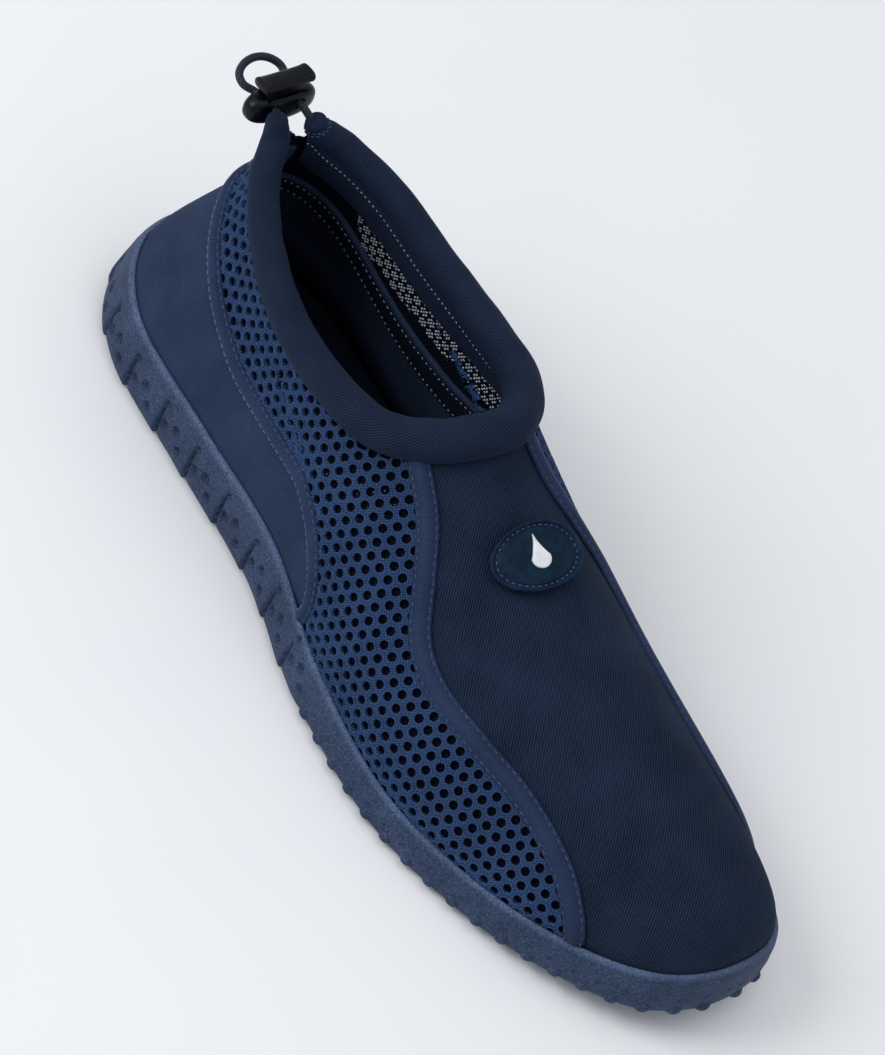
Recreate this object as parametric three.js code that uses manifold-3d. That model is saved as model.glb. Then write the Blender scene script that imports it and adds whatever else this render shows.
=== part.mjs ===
// A right-foot, low-cut neoprene aqua shoe: cupped rubber outsole, insole, neoprene and air-mesh upper,
// padded collar with an elastic drawcord, and a sprung two-hole cord lock at the heel.
// Millimetres. +X runs from heel to toe, +Y to the inner side of the foot, +Z up from the ground.
import * as THREE from 'three';
import { mergeVertices } from 'three/addons/utils/BufferGeometryUtils.js';
import Module from 'manifold-3d';

const wasm = await Module();
wasm.setup();

// ---- driving dimensions ----
const gap = 0.3; // air left between neighbouring pieces
const upperThick = 2.7; // neoprene and spacer mesh panels
const cupDepthShare = 0.15; // how much of the panel height coordinate lies down inside the cup
const soleThickHeel = 10;
const soleThickToe = 7;
const toeSpringFrom = 200; // the sole leaves the ground ahead of this
const toeSpring = 9; // and is this high 80 mm further on
const heelBevelFrom = 25;
const heelBevel = 3;
const cupClear = 0.7; // between the upper and the inside of the cup
const boardThick = 1.2;
const foamThick = 3;
const sockThick = 0.8;
const boardInset = 3.6; // how far each insole piece stays inside the upper's outer face
const foamInset = 5;
const sockInset = 7;
const bindingLift = 0.6;
const bindingThick = 0.8;
const frontBindingWidth = 6.5;
const heelBindingWidth = 5.5;
const coverThick = 1.2; // knit cover of the collar
const cordRadius = 1.2;
const channelRadius = 1.7; // passage for the cord through the collar's foam
const facingWidth = 8;
const facingLift = 0.9; // from the inside of the panels to the facing
const facingThick = 0.8;
const badgeLong = 28; // across the foot
const badgeShort = 20;
const badgeLift = 1.4; // above the curved vamp
const badgeThick = 1.6;
const badgeRim = 0.8;
const lockLength = 24; // cord lock barrel, across the heel
const lockHeight = 10.6;
const lockDepth = 8;
const lockTop = 4.2; // flat top of the barrel above its middle
const lockTilt = -12.6; // degrees the lock leans back
const lockHoleApart = 9;
const lockHoleUp = 0.8;
const lockHoleRadius = 1.7;
const lockTravel = 1.8; // how far the plunger presses in
const lockPlace = [9.8, -0.5, 86.4];

// Where the upper meets the rim of the cup, from the back of the heel round the outer side to the toe
// tip (entry toeIndex) and back along the inner side.
const rimPoints = [
  [4.6, 1.7, 26.7], [7.3, -20.4, 24.1], [29, -33.5, 20], [67.5, -35, 19], [107.5, -36, 18.4],
  [147.5, -44.5, 14.5], [187.5, -46, 12], [221.5, -37.6, 13], [249.5, -25, 17], [270, -9.3, 23],
  [276.5, 11.6, 26], [269.5, 32, 23.4], [245, 40.5, 18], [208, 43.7, 15.5], [170, 43.2, 16.5],
  [125, 36, 19.3], [80, 32.5, 21.6], [36.5, 31.5, 24.3], [12.7, 21.8, 26.8],
];
const toeIndex = 10;
// Middle of the collar roll, from the outer end at the heel round the throat to the inner end.
const collarPoints = [
  [17.4, -7.3, 89], [19.8, -7, 83.5], [28, -13.4, 76.8], [44, -20.4, 71.2], [64, -25.2, 67.6],
  [86, -25.4, 66.2], [106, -21.4, 67.6], [118, -11.5, 72.6], [123, 2.4, 76], [121.8, 14.7, 75.4],
  [109.5, 26.7, 72.1], [86.3, 29.4, 69.6], [64, 27.6, 70.6], [43, 23.3, 75.3], [27, 15, 80],
  [21.5, 8, 84], [20, 5.8, 87],
];
const heelTop = [16, 0, 78.5]; // lowest point of the slit between the collar's ends
// Side values of the upper, by place round the shoe: 0 at the heel, 0.5 at the toe.
const collarSlope = [[0, 94], [0.15, 86], [0.25, 52], [0.33, 40], [0.42, 39], [0.5, 37]]; // degrees
const wallLean = [[0, 2], [0.2, 1.2], [0.35, 9], [0.42, 0], [0.5, 5]]; // degrees outwards at the rim
const rimPull = [[0, 0.6], [0.2, 0.66], [0.35, 0.44], [0.42, 0.47], [0.46, 0.44], [0.5, 0.45]];
const collarPull = [[0, 0.95], [0.2, 0.87], [0.35, 0.84], [0.42, 0.81], [0.46, 0.81], [0.5, 0.85]];
const collarRadius = [[0, 3.3], [0.06, 4.1], [0.18, 4.8], [0.35, 5.8], [0.5, 6.4]]; // along the roll
// Seams as (place round the shoe, height from rim 0 to collar 1).
const frontSeamPoints = [
  [0.425, 0], [0.424, 0.12], [0.421, 0.25], [0.408, 0.355], [0.385, 0.42], [0.358, 0.485],
  [0.351, 0.57], [0.364, 0.7], [0.379, 0.84], [0.373, 1],
];
const heelSeamTopPoints = [
  [0.236, 0.505], [0.222, 0.515], [0.19, 0.465], [0.15, 0.445], [0.12, 0.49], [0.08, 0.585],
  [0.04, 0.64], [0, 0.66],
];
const heelSeamRisePoints = [[0.233, 0], [0.237, 0.15], [0.24, 0.32], [0.236, 0.505]];
const badgePlace = [0.5, 0.78];
// The free part of the drawcord, from the outer end of the collar, through the lock, round the loop
// behind the heel and back through the lock to the inner end.
const cordFreePoints = [
  [22.4, -8.8, 81.6], [20.6, -7.4, 84.6], [18.4, -5.9, 87.2], [15.4, -5, 88.4], [11.6, -5, 87.6],
  [7.6, -5, 86.7], [4.6, -5.4, 86.1], [1.4, -7.6, 86.3], [-1.8, -7.3, 87], [-4, -4.6, 87.8],
  [-4.7, -0.8, 88.4], [-3.7, 3, 88.4], [-1.2, 5.9, 87.7], [1.7, 6.5, 86.8], [4.6, 4.4, 86.1],
  [7.6, 4, 86.7], [11.6, 4, 87.6], [15.4, 4, 88.4], [18.4, 4.9, 87.2], [20.8, 6.8, 85],
  [23.2, 10, 82.4],
];
// The point on the ground under the middle of the shoe.
const origin = [137.125, -1.198, 0];

// ---- small helpers ----
const vec = (p) => new THREE.Vector3(p[0], p[1], p[2]);
function curveThrough(points, closed) {
  return new THREE.CatmullRomCurve3(points.map(vec), closed, 'catmullrom', 0.5);
}
const mix = THREE.MathUtils.lerp;
const clamp = THREE.MathUtils.clamp;

// Smooth value from a half table, mirrored to the other side of the shoe.
function sideValue(table, place) {
  let s = ((place % 1) + 1) % 1;
  if (s > 0.5) s = 1 - s;
  const last = table.length - 1;
  const at = (i) => {
    if (i < 0) return [-table[-i][0], table[-i][1]];
    if (i > last) return [1 - table[2 * last - i][0], table[2 * last - i][1]];
    return table[i];
  };
  let k = 0;
  while (k < last - 1 && s >= table[k + 1][0]) k += 1;
  const [before, a, b, after] = [at(k - 1), at(k), at(k + 1), at(k + 2)];
  const h = b[0] - a[0];
  const f = (s - a[0]) / h;
  const m0 = ((b[1] - before[1]) / (b[0] - before[0])) * h;
  const m1 = ((after[1] - a[1]) / (after[0] - a[0])) * h;
  const g = 1 - f;
  return (1 + 2 * f) * g * g * a[1] + f * g * g * m0 + f * f * (3 - 2 * f) * b[1] - f * f * g * m1;
}

// ---- the form of the shoe ----
const rimCurve = curveThrough(rimPoints, true);
const collarCurve = curveThrough(collarPoints, false);
const throatCurve = curveThrough([heelTop, ...collarPoints.slice(2, -2)], true);

// Lengths along the rim, so that place 0 to 0.5 and 0.5 to 1 are even steps along each side.
const rimSteps = 1900;
const rimLengths = [0];
for (let i = 1; i <= rimSteps; i += 1) {
  const step = rimCurve.getPoint(i / rimSteps).distanceTo(rimCurve.getPoint((i - 1) / rimSteps));
  rimLengths.push(rimLengths[i - 1] + step);
}
const toeStep = (toeIndex / rimPoints.length) * rimSteps;

function rimAt(place) {
  const s = ((place % 1) + 1) % 1;
  const toeLength = rimLengths[toeStep];
  const want = s <= 0.5 ? s * 2 * toeLength : mix(toeLength, rimLengths[rimSteps], s * 2 - 1);
  let low = 0;
  let high = rimSteps;
  while (high - low > 1) {
    const middle = (low + high) >> 1;
    if (rimLengths[middle] <= want) low = middle;
    else high = middle;
  }
  const f = (want - rimLengths[low]) / (rimLengths[high] - rimLengths[low]);
  return rimCurve.getPoint((low + f) / rimSteps);
}

// Place round the throat that belongs to a place round the rim.
function throatPlace(place) {
  const turn = 2 * Math.PI * place;
  return place + 0.032 * Math.sin(turn) - 0.012 * Math.sin(2 * turn);
}

function groundLift(x) {
  const toe = Math.max(0, (x - toeSpringFrom) / 80);
  const heel = Math.max(0, (heelBevelFrom - x) / heelBevelFrom);
  return toeSpring * toe * toe + heelBevel * heel * heel;
}
function cupFloor(x) {
  return groundLift(x) + mix(soleThickToe, soleThickHeel, clamp((150 - x) / 100, 0, 1));
}

// Outer face of the upper: height 0 at the rim, 1 on the middle of the collar roll, and below 0
// straight down inside the cup.
function shellPoint(place, height) {
  const rim = rimAt(place);
  if (height < 0) {
    const depth = rim.z - cupFloor(rim.x) - gap;
    return rim.setZ(rim.z + (height / cupDepthShare) * depth);
  }
  const edge = throatCurve.getPoint(((throatPlace(place) % 1) + 1) % 1);
  const rise = edge.clone().sub(rim);
  const length = rise.length();
  const inward = new THREE.Vector3(rise.x, rise.y, 0).normalize();
  const slope = THREE.MathUtils.degToRad(sideValue(collarSlope, place));
  const lean = THREE.MathUtils.degToRad(sideValue(wallLean, place));
  const start = inward.clone().multiplyScalar(-Math.sin(lean)).setZ(Math.cos(lean));
  const finish = inward.clone().multiplyScalar(Math.cos(slope)).setZ(Math.sin(slope));
  start.multiplyScalar(length * sideValue(rimPull, place));
  finish.multiplyScalar(length * sideValue(collarPull, place));
  const f = height;
  const g = 1 - f;
  return rim.multiplyScalar((1 + 2 * f) * g * g)
    .addScaledVector(start, f * g * g)
    .addScaledVector(edge, f * f * (3 - 2 * f))
    .addScaledVector(finish, -f * f * g);
}

// The two directions along the shell and its outward normal, in mm per unit of place and height.
function shellFrame(place, height) {
  const h = Math.min(height, 0.999);
  const along = shellPoint(place + 1e-3, h).sub(shellPoint(place - 1e-3, h)).multiplyScalar(500);
  const up = shellPoint(place, h + 1e-3).sub(shellPoint(place, h - 1e-3)).multiplyScalar(500);
  return { along, up, normal: along.clone().cross(up).normalize() };
}
function shellOffset(place, height, out) {
  return shellPoint(place, height).addScaledVector(shellFrame(place, height).normal, out);
}

// The upper stops under the collar roll.
const rollPoints = Array.from({ length: 161 }, (_, i) => collarCurve.getPoint(i / 160));
const rollRadii = rollPoints.map((_, i) => sideValue(collarRadius, i / 160));
function clearOfRoll(place, height) {
  const p = shellPoint(place, height);
  return rollPoints.every((q, i) => p.distanceTo(q) > rollRadii[i] + 0.5);
}
function topHeight(place) {
  let low = 0.5;
  let high = 1;
  if (clearOfRoll(place, high)) return high;
  for (let i = 0; i < 18; i += 1) {
    const middle = (low + high) / 2;
    if (clearOfRoll(place, middle)) low = middle;
    else high = middle;
  }
  return low;
}

// ---- seams ----
// Moves a seam sideways over the shell by a distance in mm; positive is to the left of its direction.
function shiftSeam(seam, distance) {
  return seam.map(([place, height], i) => {
    const before = seam[Math.max(i - 1, 0)];
    const after = seam[Math.min(i + 1, seam.length - 1)];
    const { along, up, normal } = shellFrame(place, height);
    const run = along.clone().multiplyScalar(after[0] - before[0]).addScaledVector(up, after[1] - before[1]);
    const side = normal.clone().cross(run).normalize().multiplyScalar(distance);
    const [aa, au, uu] = [along.dot(along), along.dot(up), up.dot(up)];
    const [sa, su] = [side.dot(along), side.dot(up)];
    const det = aa * uu - au * au;
    return [place + (sa * uu - su * au) / det, height + (su * aa - sa * au) / det];
  });
}
function sampleSeam(points, count, from = 0) {
  const curve = curveThrough(points.map(([place, height]) => [place, height, 0]), false);
  return Array.from({ length: count + 1 }, (_, i) => {
    const p = curve.getPoint(mix(from, 1, i / count));
    return [p.x, p.y];
  });
}
const mirrored = (seam) => seam.map(([place, height]) => [1 - place, height]);
const backwards = (seam) => [...seam].reverse();
const between = (a, b, share) => [mix(a[0], b[0], share), mix(a[1], b[1], share)];
const line = (a, b, count) => Array.from({ length: count + 1 }, (_, i) => between(a, b, i / count));

const frontSeamFull = sampleSeam(frontSeamPoints, 16);
const frontSeamTop = topHeight(0.376);
const frontSeam = [
  [frontSeamPoints[0][0], -cupDepthShare],
  ...frontSeamFull.filter((p) => p[1] < frontSeamTop - 0.02),
  [0.375, frontSeamTop],
];
const heelRise = [[heelSeamRisePoints[0][0], -cupDepthShare], ...sampleSeam(heelSeamRisePoints, 5)];
const seamSteps = 13;
const heelTopSeam = sampleSeam(heelSeamTopPoints, seamSteps);

// ---- solids from grids ----
const evenShares = (count) => Array.from({ length: count + 1 }, (_, i) => i / count);
function indexedGeometry(points, faces) {
  const geometry = new THREE.BufferGeometry();
  const places = points.flatMap((p) => [p.x, p.y, p.z]);
  geometry.setAttribute('position', new THREE.Float32BufferAttribute(places, 3));
  geometry.setIndex(faces);
  return geometry;
}
function signedVolume(points, faces) {
  let sum = 0;
  for (let i = 0; i < faces.length; i += 3) {
    const [a, b, c] = [points[faces[i]], points[faces[i + 1]], points[faces[i + 2]]];
    sum += a.dot(b.clone().cross(c));
  }
  return sum / 6;
}
function facingOut(points, faces) {
  if (signedVolume(points, faces) > 0) return indexedGeometry(points, faces);
  const turned = [];
  for (let i = 0; i < faces.length; i += 3) turned.push(faces[i], faces[i + 2], faces[i + 1]);
  return indexedGeometry(points, turned);
}

// A sheet of material between two matching grids of points.
function sheetSolid(outer, inner) {
  const rows = outer.length;
  const cols = outer[0].length;
  const points = [...outer.flat(), ...inner.flat()];
  const shift = rows * cols;
  const faces = [];
  const quad = (a, b, c, d) => faces.push(a, b, c, a, c, d);
  const id = (i, j) => i * cols + j;
  for (let i = 0; i < rows - 1; i += 1) {
    for (let j = 0; j < cols - 1; j += 1) {
      quad(id(i, j), id(i + 1, j), id(i + 1, j + 1), id(i, j + 1));
      quad(shift + id(i, j), shift + id(i, j + 1), shift + id(i + 1, j + 1), shift + id(i + 1, j));
    }
  }
  const edge = (a, b) => quad(b, a, a + shift, b + shift);
  for (let i = 0; i < rows - 1; i += 1) {
    edge(id(i, 0), id(i + 1, 0));
    edge(id(i + 1, cols - 1), id(i, cols - 1));
  }
  for (let j = 0; j < cols - 1; j += 1) {
    edge(id(rows - 1, j), id(rows - 1, j + 1));
    edge(id(0, j + 1), id(0, j));
  }
  return facingOut(points, faces);
}
const shellSheet = (grid, outside, inside) => sheetSolid(
  grid.map((row) => row.map(([place, height]) => shellOffset(place, height, outside))),
  grid.map((row) => row.map(([place, height]) => shellOffset(place, height, inside))),
);

// Grid of seam coordinates that fills the space between four edges (a Coons patch).
function patchBetween(bottom, top, left, right, shares = evenShares(left.length - 1)) {
  const across = bottom.length - 1;
  const high = left.length - 1;
  return bottom.map((_, i) => left.map((__, j) => {
    const s = i / across;
    const r = shares[j];
    return [0, 1].map((k) => mix(bottom[i][k], top[i][k], r) + mix(left[j][k], right[j][k], s)
      - mix(mix(bottom[0][k], bottom[across][k], s), mix(top[0][k], top[across][k], s), r));
  }));
}
// A seam or straight edge re-cut at given shares of its length along the shell.
function stepsAt(seam, shares) {
  const points = seam.map(([place, height]) => shellPoint(place, height));
  const lengths = [0];
  for (let i = 1; i < points.length; i += 1) {
    lengths.push(lengths[i - 1] + points[i].distanceTo(points[i - 1]));
  }
  const total = lengths[lengths.length - 1];
  return shares.map((share) => {
    const want = total * share;
    let k = 1;
    while (k < points.length - 1 && lengths[k] < want) k += 1;
    return between(seam[k - 1], seam[k], (want - lengths[k - 1]) / (lengths[k] - lengths[k - 1]));
  });
}

// A solid from a stack of closed rings, each ordered from the heel round the shoe, closed by cross strips.
function ringSolid(rings) {
  const count = rings[0].length;
  const half = count / 2;
  const points = rings.flat();
  const faces = [];
  const last = rings.length - 1;
  for (let k = 0; k < last; k += 1) {
    for (let i = 0; i < count; i += 1) {
      const j = (i + 1) % count;
      const [a, b] = [k * count + i, k * count + j];
      faces.push(a, b, b + count, a, b + count, a + count);
    }
  }
  const fill = (base, flip) => {
    const tri = (a, b, c) => faces.push(base + a, base + (flip ? c : b), base + (flip ? b : c));
    tri(0, 1, count - 1);
    for (let i = 1; i < half - 1; i += 1) {
      tri(i, i + 1, count - i - 1);
      tri(i, count - i - 1, count - i);
    }
    tri(half - 1, half, half + 1);
  };
  fill(0, true);
  fill(last * count, false);
  return facingOut(points, faces);
}

// ---- booleans ----
function toSolid(geometry) {
  const bare = geometry.clone();
  bare.deleteAttribute('normal');
  bare.deleteAttribute('uv');
  const merged = mergeVertices(bare, 1e-4);
  return new wasm.Manifold(new wasm.Mesh({
    numProp: 3,
    vertProperties: new Float32Array(merged.attributes.position.array),
    triVerts: new Uint32Array(merged.index.array),
  }));
}
function fromSolid(solid) {
  const mesh = solid.getMesh();
  const geometry = new THREE.BufferGeometry();
  geometry.setAttribute('position', new THREE.Float32BufferAttribute(mesh.vertProperties, 3));
  geometry.setIndex([...mesh.triVerts]);
  return geometry;
}

// ---- tubes ----
// A round tube of changing radius along centres, with rounded ends.
function roundTube(centres, radii, sides) {
  const last = centres.length - 1;
  const rings = [];
  let side = new THREE.Vector3(0, 0, 1);
  const ringAt = (centre, forward, radius) => {
    side = side.clone().addScaledVector(forward, -side.dot(forward)).normalize();
    const other = forward.clone().cross(side);
    return Array.from({ length: sides }, (_, k) => {
      const turn = (2 * Math.PI * k) / sides;
      return centre.clone()
        .addScaledVector(side, radius * Math.cos(turn))
        .addScaledVector(other, radius * Math.sin(turn));
    });
  };
  const forwardAt = (i) => centres[Math.min(i + 1, last)].clone()
    .sub(centres[Math.max(i - 1, 0)]).normalize();
  const endRing = (i, forward, turn, way) => {
    const centre = centres[i].clone().addScaledVector(forward, way * radii[i] * Math.sin(turn));
    return ringAt(centre, forward, radii[i] * Math.cos(turn));
  };
  const endTurns = [75, 45, 20].map(THREE.MathUtils.degToRad);
  for (const turn of endTurns) rings.push(endRing(0, forwardAt(0), turn, -1));
  for (let i = 0; i <= last; i += 1) rings.push(ringAt(centres[i], forwardAt(i), radii[i]));
  for (const turn of [...endTurns].reverse()) rings.push(endRing(last, forwardAt(last), turn, 1));
  return ringSolid(rings);
}
// A tube of one radius along a curve, with flat ends.
function cordTube(points, radius, sides, steps) {
  const section = new THREE.Shape(Array.from({ length: sides }, (_, k) => {
    const turn = (2 * Math.PI * k) / sides;
    return new THREE.Vector2(radius * Math.cos(turn), radius * Math.sin(turn));
  }));
  const path = new THREE.CatmullRomCurve3(points, false, 'catmullrom', 0.5);
  return new THREE.ExtrudeGeometry(section, { steps, bevelEnabled: false, extrudePath: path });
}

// ---- the sub-parts ----
const ringCount = 80;
const ringPlaces = Array.from({ length: ringCount }, (_, i) => i / ringCount);
function rimRing(out, heightAt) {
  return ringPlaces.map((place) => {
    const rim = rimAt(place);
    const normal = shellFrame(place, -0.05).normal;
    return rim.clone().addScaledVector(normal, out).setZ(heightAt(rim));
  });
}

function outsole() {
  const wall = [[0.8, 0], [2.7, 0.1], [3.5, 0.28], [3.4, 0.5], [2.7, 0.8], [1.9, 1]];
  const rings = wall.map(([out, share]) => rimRing(out, (rim) => mix(groundLift(rim.x), rim.z, share)));
  rings.push(rimRing(cupClear, (rim) => rim.z), rimRing(cupClear, (rim) => cupFloor(rim.x)));
  return ringSolid(rings);
}

function insoleLayer(inset, lift, thick) {
  const ringAt = (extra) => rimRing(-inset, (rim) => cupFloor(rim.x) + lift + extra);
  return ringSolid([ringAt(0), ringAt(thick)]);
}

function heelPanel() {
  const rise = shiftSeam(heelRise, gap / 2);
  const seam = shiftSeam(heelTopSeam, gap / 2);
  const top = [...seam, ...backwards(mirrored(seam)).slice(1).map(([place, height]) => [place - 1, height])];
  top[seamSteps] = [0, seam[seamSteps][1]];
  const right = rise.map(([place, height], i) => (i === rise.length - 1 ? seam[0] : [place, height]));
  const left = right.map(([place, height]) => [-place, height]);
  const bottom = line(left[0], right[0], 2 * seamSteps);
  return shellSheet(patchBetween(bottom, backwards(top), left, right), 0, -upperThick);
}

// Rows of the front panels: one at the bottom of the cup, one at the rim, and the rest up to the collar,
// closer where the toe turns over.
const upShares = [0, 0.05, 0.12, 0.2, 0.31, 0.45, 0.62, 0.81, 1];
const rimShare = 0.09;
const rowShares = [0, ...upShares.map((share) => mix(rimShare, 1, share))];
const rows = rowShares.length - 1;
function frontEdge(shift) {
  const [bottom, ...above] = shiftSeam(frontSeam, shift);
  above[0] = [above[0][0], 0];
  return [[bottom[0], -cupDepthShare], ...stepsAt(above, upShares)];
}

function meshPanel(innerSide) {
  const seam = shiftSeam(heelTopSeam, -gap / 2);
  seam[seam.length - 1] = [0.0007, seam[seam.length - 1][1]];
  const rise = shiftSeam(heelRise, -gap / 2);
  const front = frontEdge(gap / 2);
  const bottom = [...backwards(seam), ...backwards(rise).slice(1), ...line(rise[0], front[0], 10).slice(1)];
  const topPlaces = [
    ...line([seam[seam.length - 1][0], 0], [0.225, 0], seamSteps),
    ...line([0.225, 0], [0.285, 0], rise.length - 1).slice(1),
    ...line([0.285, 0], [front[rows][0], 0], 10).slice(1),
  ];
  const top = topPlaces.map(([place]) => [place, topHeight(place)]);
  const left = rowShares.map((share) => between(bottom[0], top[0], share));
  const right = front.map((p, j) => (j === rows ? top[top.length - 1] : p));
  const grid = patchBetween(bottom, top, left, right, rowShares);
  return shellSheet(innerSide ? grid.map(mirrored) : grid, 0, -upperThick);
}

function vampPanel() {
  const left = frontEdge(-gap / 2);
  left[rows] = [left[rows][0], topHeight(left[rows][0])];
  const right = mirrored(left);
  const bottom = line(left[0], right[0], 24);
  const top = line(left[rows], right[rows], 24).map(([place]) => [place, topHeight(place)]);
  return shellSheet(patchBetween(bottom, top, left, right, rowShares), 0, -upperThick);
}

// A flat ribbon laid over a seam.
function ribbon(seam, width) {
  const grid = [-width / 2, 0, width / 2].map((distance) => shiftSeam(seam, distance));
  return shellSheet(grid, bindingLift + bindingThick, bindingLift);
}
function frontBinding(innerSide) {
  const seam = [
    [frontSeam[1][0], 0.03],
    ...frontSeam.filter((p) => p[1] > 0.05 && p[1] < frontSeamTop - 0.05),
    [0.376, frontSeamTop - 0.03],
  ];
  return ribbon(innerSide ? mirrored(seam) : seam, frontBindingWidth);
}
function heelBinding() {
  const rise = heelRise.filter((p) => p[1] > 0.05);
  const side = [[heelSeamRisePoints[0][0], 0.03], ...rise, ...heelTopSeam.slice(1)];
  const other = backwards(side).slice(1).map(([place, height]) => [-place, height]);
  return ribbon([...side, ...other], heelBindingWidth);
}

// Strip inside the mouth where the collar's cover is stitched down to the panels.
function collarFacing() {
  const places = line([0.035, 0], [0.965, 0], 40).map(([place]) => place);
  const grid = places.map((place) => {
    const top = topHeight(place) - 0.01;
    const drop = facingWidth / shellFrame(place, top).up.length();
    return [[place, top - drop], [place, top - drop / 2], [place, top]];
  });
  return shellSheet(grid, -(upperThick + facingLift), -(upperThick + facingLift + facingThick));
}
// Tape down the inside of the back seam, below the slit.
function heelTape() {
  const grid = [-0.007, 0, 0.007].map((place) => line([place, 0.36], [place, 0.97], 6));
  return shellSheet(grid, -(upperThick + facingLift), -(upperThick + facingLift + facingThick));
}

// Collar roll: a knit cover round foam, with a passage for the drawcord.
const collarSteps = 30;
function collarRoll(shrink) {
  const centres = Array.from({ length: collarSteps + 1 }, (_, i) => collarCurve.getPoint(i / collarSteps));
  const radii = centres.map((_, i) => sideValue(collarRadius, i / collarSteps) - shrink);
  return toSolid(roundTube(centres, radii, 10));
}
// Whole route of the drawcord, a closed round that parts at the front of the throat.
function cordRoute() {
  const partedBy = 0.006;
  const first = Array.from({ length: 14 }, (_, i) => collarCurve.getPoint(mix(0.5 - partedBy, 0.14, i / 13)));
  const back = Array.from({ length: 14 }, (_, i) => collarCurve.getPoint(mix(0.86, 0.5 + partedBy, i / 13)));
  return [...first, ...cordFreePoints.map(vec), ...back];
}
// The passage is bored along the same route, a little past the cord's parted ends.
const route = cordRoute();
const cordSteps = 80;
const bored = toSolid(cordTube(route, channelRadius, 8, cordSteps));
const cover = collarRoll(0).subtract(collarRoll(coverThick)).subtract(bored);
const foam = collarRoll(coverThick + gap).subtract(bored);

// ---- badge ----
// Place and height of the shell point that lies so many mm across and up from a spot.
function aroundSpot(place, height, across, rise) {
  const frame = shellFrame(place, height);
  const right = frame.along.clone().normalize();
  const upward = frame.normal.clone().cross(right);
  const start = shellPoint(place, height);
  let [p, h] = [place, height];
  for (let step = 0; step < 8; step += 1) {
    const off = shellPoint(p, h).sub(start);
    const [dx, dy] = [across - off.dot(right), rise - off.dot(upward)];
    const { along, up } = shellFrame(p, h);
    const [ax, ay, ux, uy] = [along.dot(right), along.dot(upward), up.dot(right), up.dot(upward)];
    const det = ax * uy - ux * ay;
    p += (dx * uy - dy * ux) / det;
    h += (dy * ax - dx * ay) / det;
  }
  return [p, h];
}
function badgeBase() {
  const [place, height] = badgePlace;
  const spokes = 28;
  const spot = (share, k, out) => {
    const turn = (2 * Math.PI * k) / spokes;
    const across = (share * badgeLong * Math.cos(turn)) / 2;
    const rise = (share * badgeShort * Math.sin(turn)) / 2;
    return shellOffset(...aroundSpot(place, height, across, rise), out);
  };
  const low = badgeLift;
  const high = low + badgeThick;
  const profile = [
    [0.5, low], [1, low], [1, high],
    [0.96, high + badgeRim], [0.88, high + badgeRim], [0.84, high], [0.45, high],
  ];
  const rings = profile.map(([share, out]) => Array.from({ length: spokes }, (_, k) => spot(share, k, out)));
  return ringSolid(rings);
}
function badgeDrop() {
  const [place, height] = badgePlace;
  const { along, up, normal } = shellFrame(place, height);
  const drop = new THREE.Shape();
  const radius = 2.9;
  drop.moveTo(0, 6.4);
  drop.bezierCurveTo(-0.9, 3.6, -radius, 2, -radius, -1);
  drop.absarc(0, -1, radius, Math.PI, 2 * Math.PI, false);
  drop.bezierCurveTo(radius, 2, 0.9, 3.6, 0, 6.4);
  const geometry = new THREE.ExtrudeGeometry(drop, { depth: 0.8, bevelEnabled: false, curveSegments: 8 });
  const across = along.clone().normalize();
  const upward = normal.clone().cross(across);
  const at = shellPoint(place, height).addScaledVector(normal, badgeLift + badgeThick + 0.35);
  geometry.applyMatrix4(new THREE.Matrix4().makeBasis(across, upward, normal).setPosition(at));
  return geometry;
}

// ---- cord lock, in its own frame: X front to back of the foot, Y along the barrel, Z up the plunger ----
const barrelOutline = Array.from({ length: 28 }, (_, i) => {
  const turn = (2 * Math.PI * i) / 28;
  const round = (value, size) => Math.sign(value) * size * Math.abs(value) ** 0.8;
  return [round(Math.cos(turn), 1), round(Math.sin(turn), 1)];
});
function slab(width, depth, low, high, bevel) {
  const shape = new THREE.Shape();
  const [a, b] = [depth / 2 - bevel, width / 2 - bevel];
  shape.moveTo(-a, -b);
  shape.lineTo(a, -b);
  shape.lineTo(a, b);
  shape.lineTo(-a, b);
  const options = bevel > 0
    ? { depth: high - low - 2 * bevel, bevelThickness: bevel, bevelSize: bevel, bevelSegments: 2 }
    : { depth: high - low, bevelEnabled: false };
  return new THREE.ExtrudeGeometry(shape, options).translate(0, 0, low + bevel);
}
function crossHole(radius, y, z) {
  const rod = new THREE.CylinderGeometry(radius, radius, lockDepth + 4, 16);
  return rod.rotateZ(Math.PI / 2).translate(0, y, z);
}
const chamberDeep = 5.8; // front to back inside the barrel
const chamberLong = 14;
const chamberFloor = -3.95;
const stemLow = -1.6;
const springHole = 2.1;
function lockBarrel() {
  const bevel = 2;
  const [long, high] = [lockLength / 2 - bevel, lockHeight / 2 - bevel];
  const shape = new THREE.Shape(barrelOutline.map(([y, z]) => new THREE.Vector2(y * long, z * high)));
  const body = new THREE.ExtrudeGeometry(shape, {
    depth: lockDepth - 2 * bevel, bevelThickness: bevel, bevelSize: bevel, bevelSegments: 2,
  });
  body.translate(0, 0, bevel - lockDepth / 2);
  body.applyMatrix4(new THREE.Matrix4().makeBasis(
    new THREE.Vector3(0, 1, 0), new THREE.Vector3(0, 0, 1), new THREE.Vector3(1, 0, 0),
  ));
  let solid = toSolid(body)
    .subtract(toSolid(slab(2 * lockLength, 2 * lockDepth, lockTop, 2 * lockTop, 0)))
    .subtract(toSolid(slab(chamberLong, chamberDeep, chamberFloor, 2 * lockTop, 0)));
  for (const side of [-1, 1]) {
    solid = solid.subtract(toSolid(crossHole(lockHoleRadius, (side * lockHoleApart) / 2, lockHoleUp)));
  }
  return fromSolid(solid);
}
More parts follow.
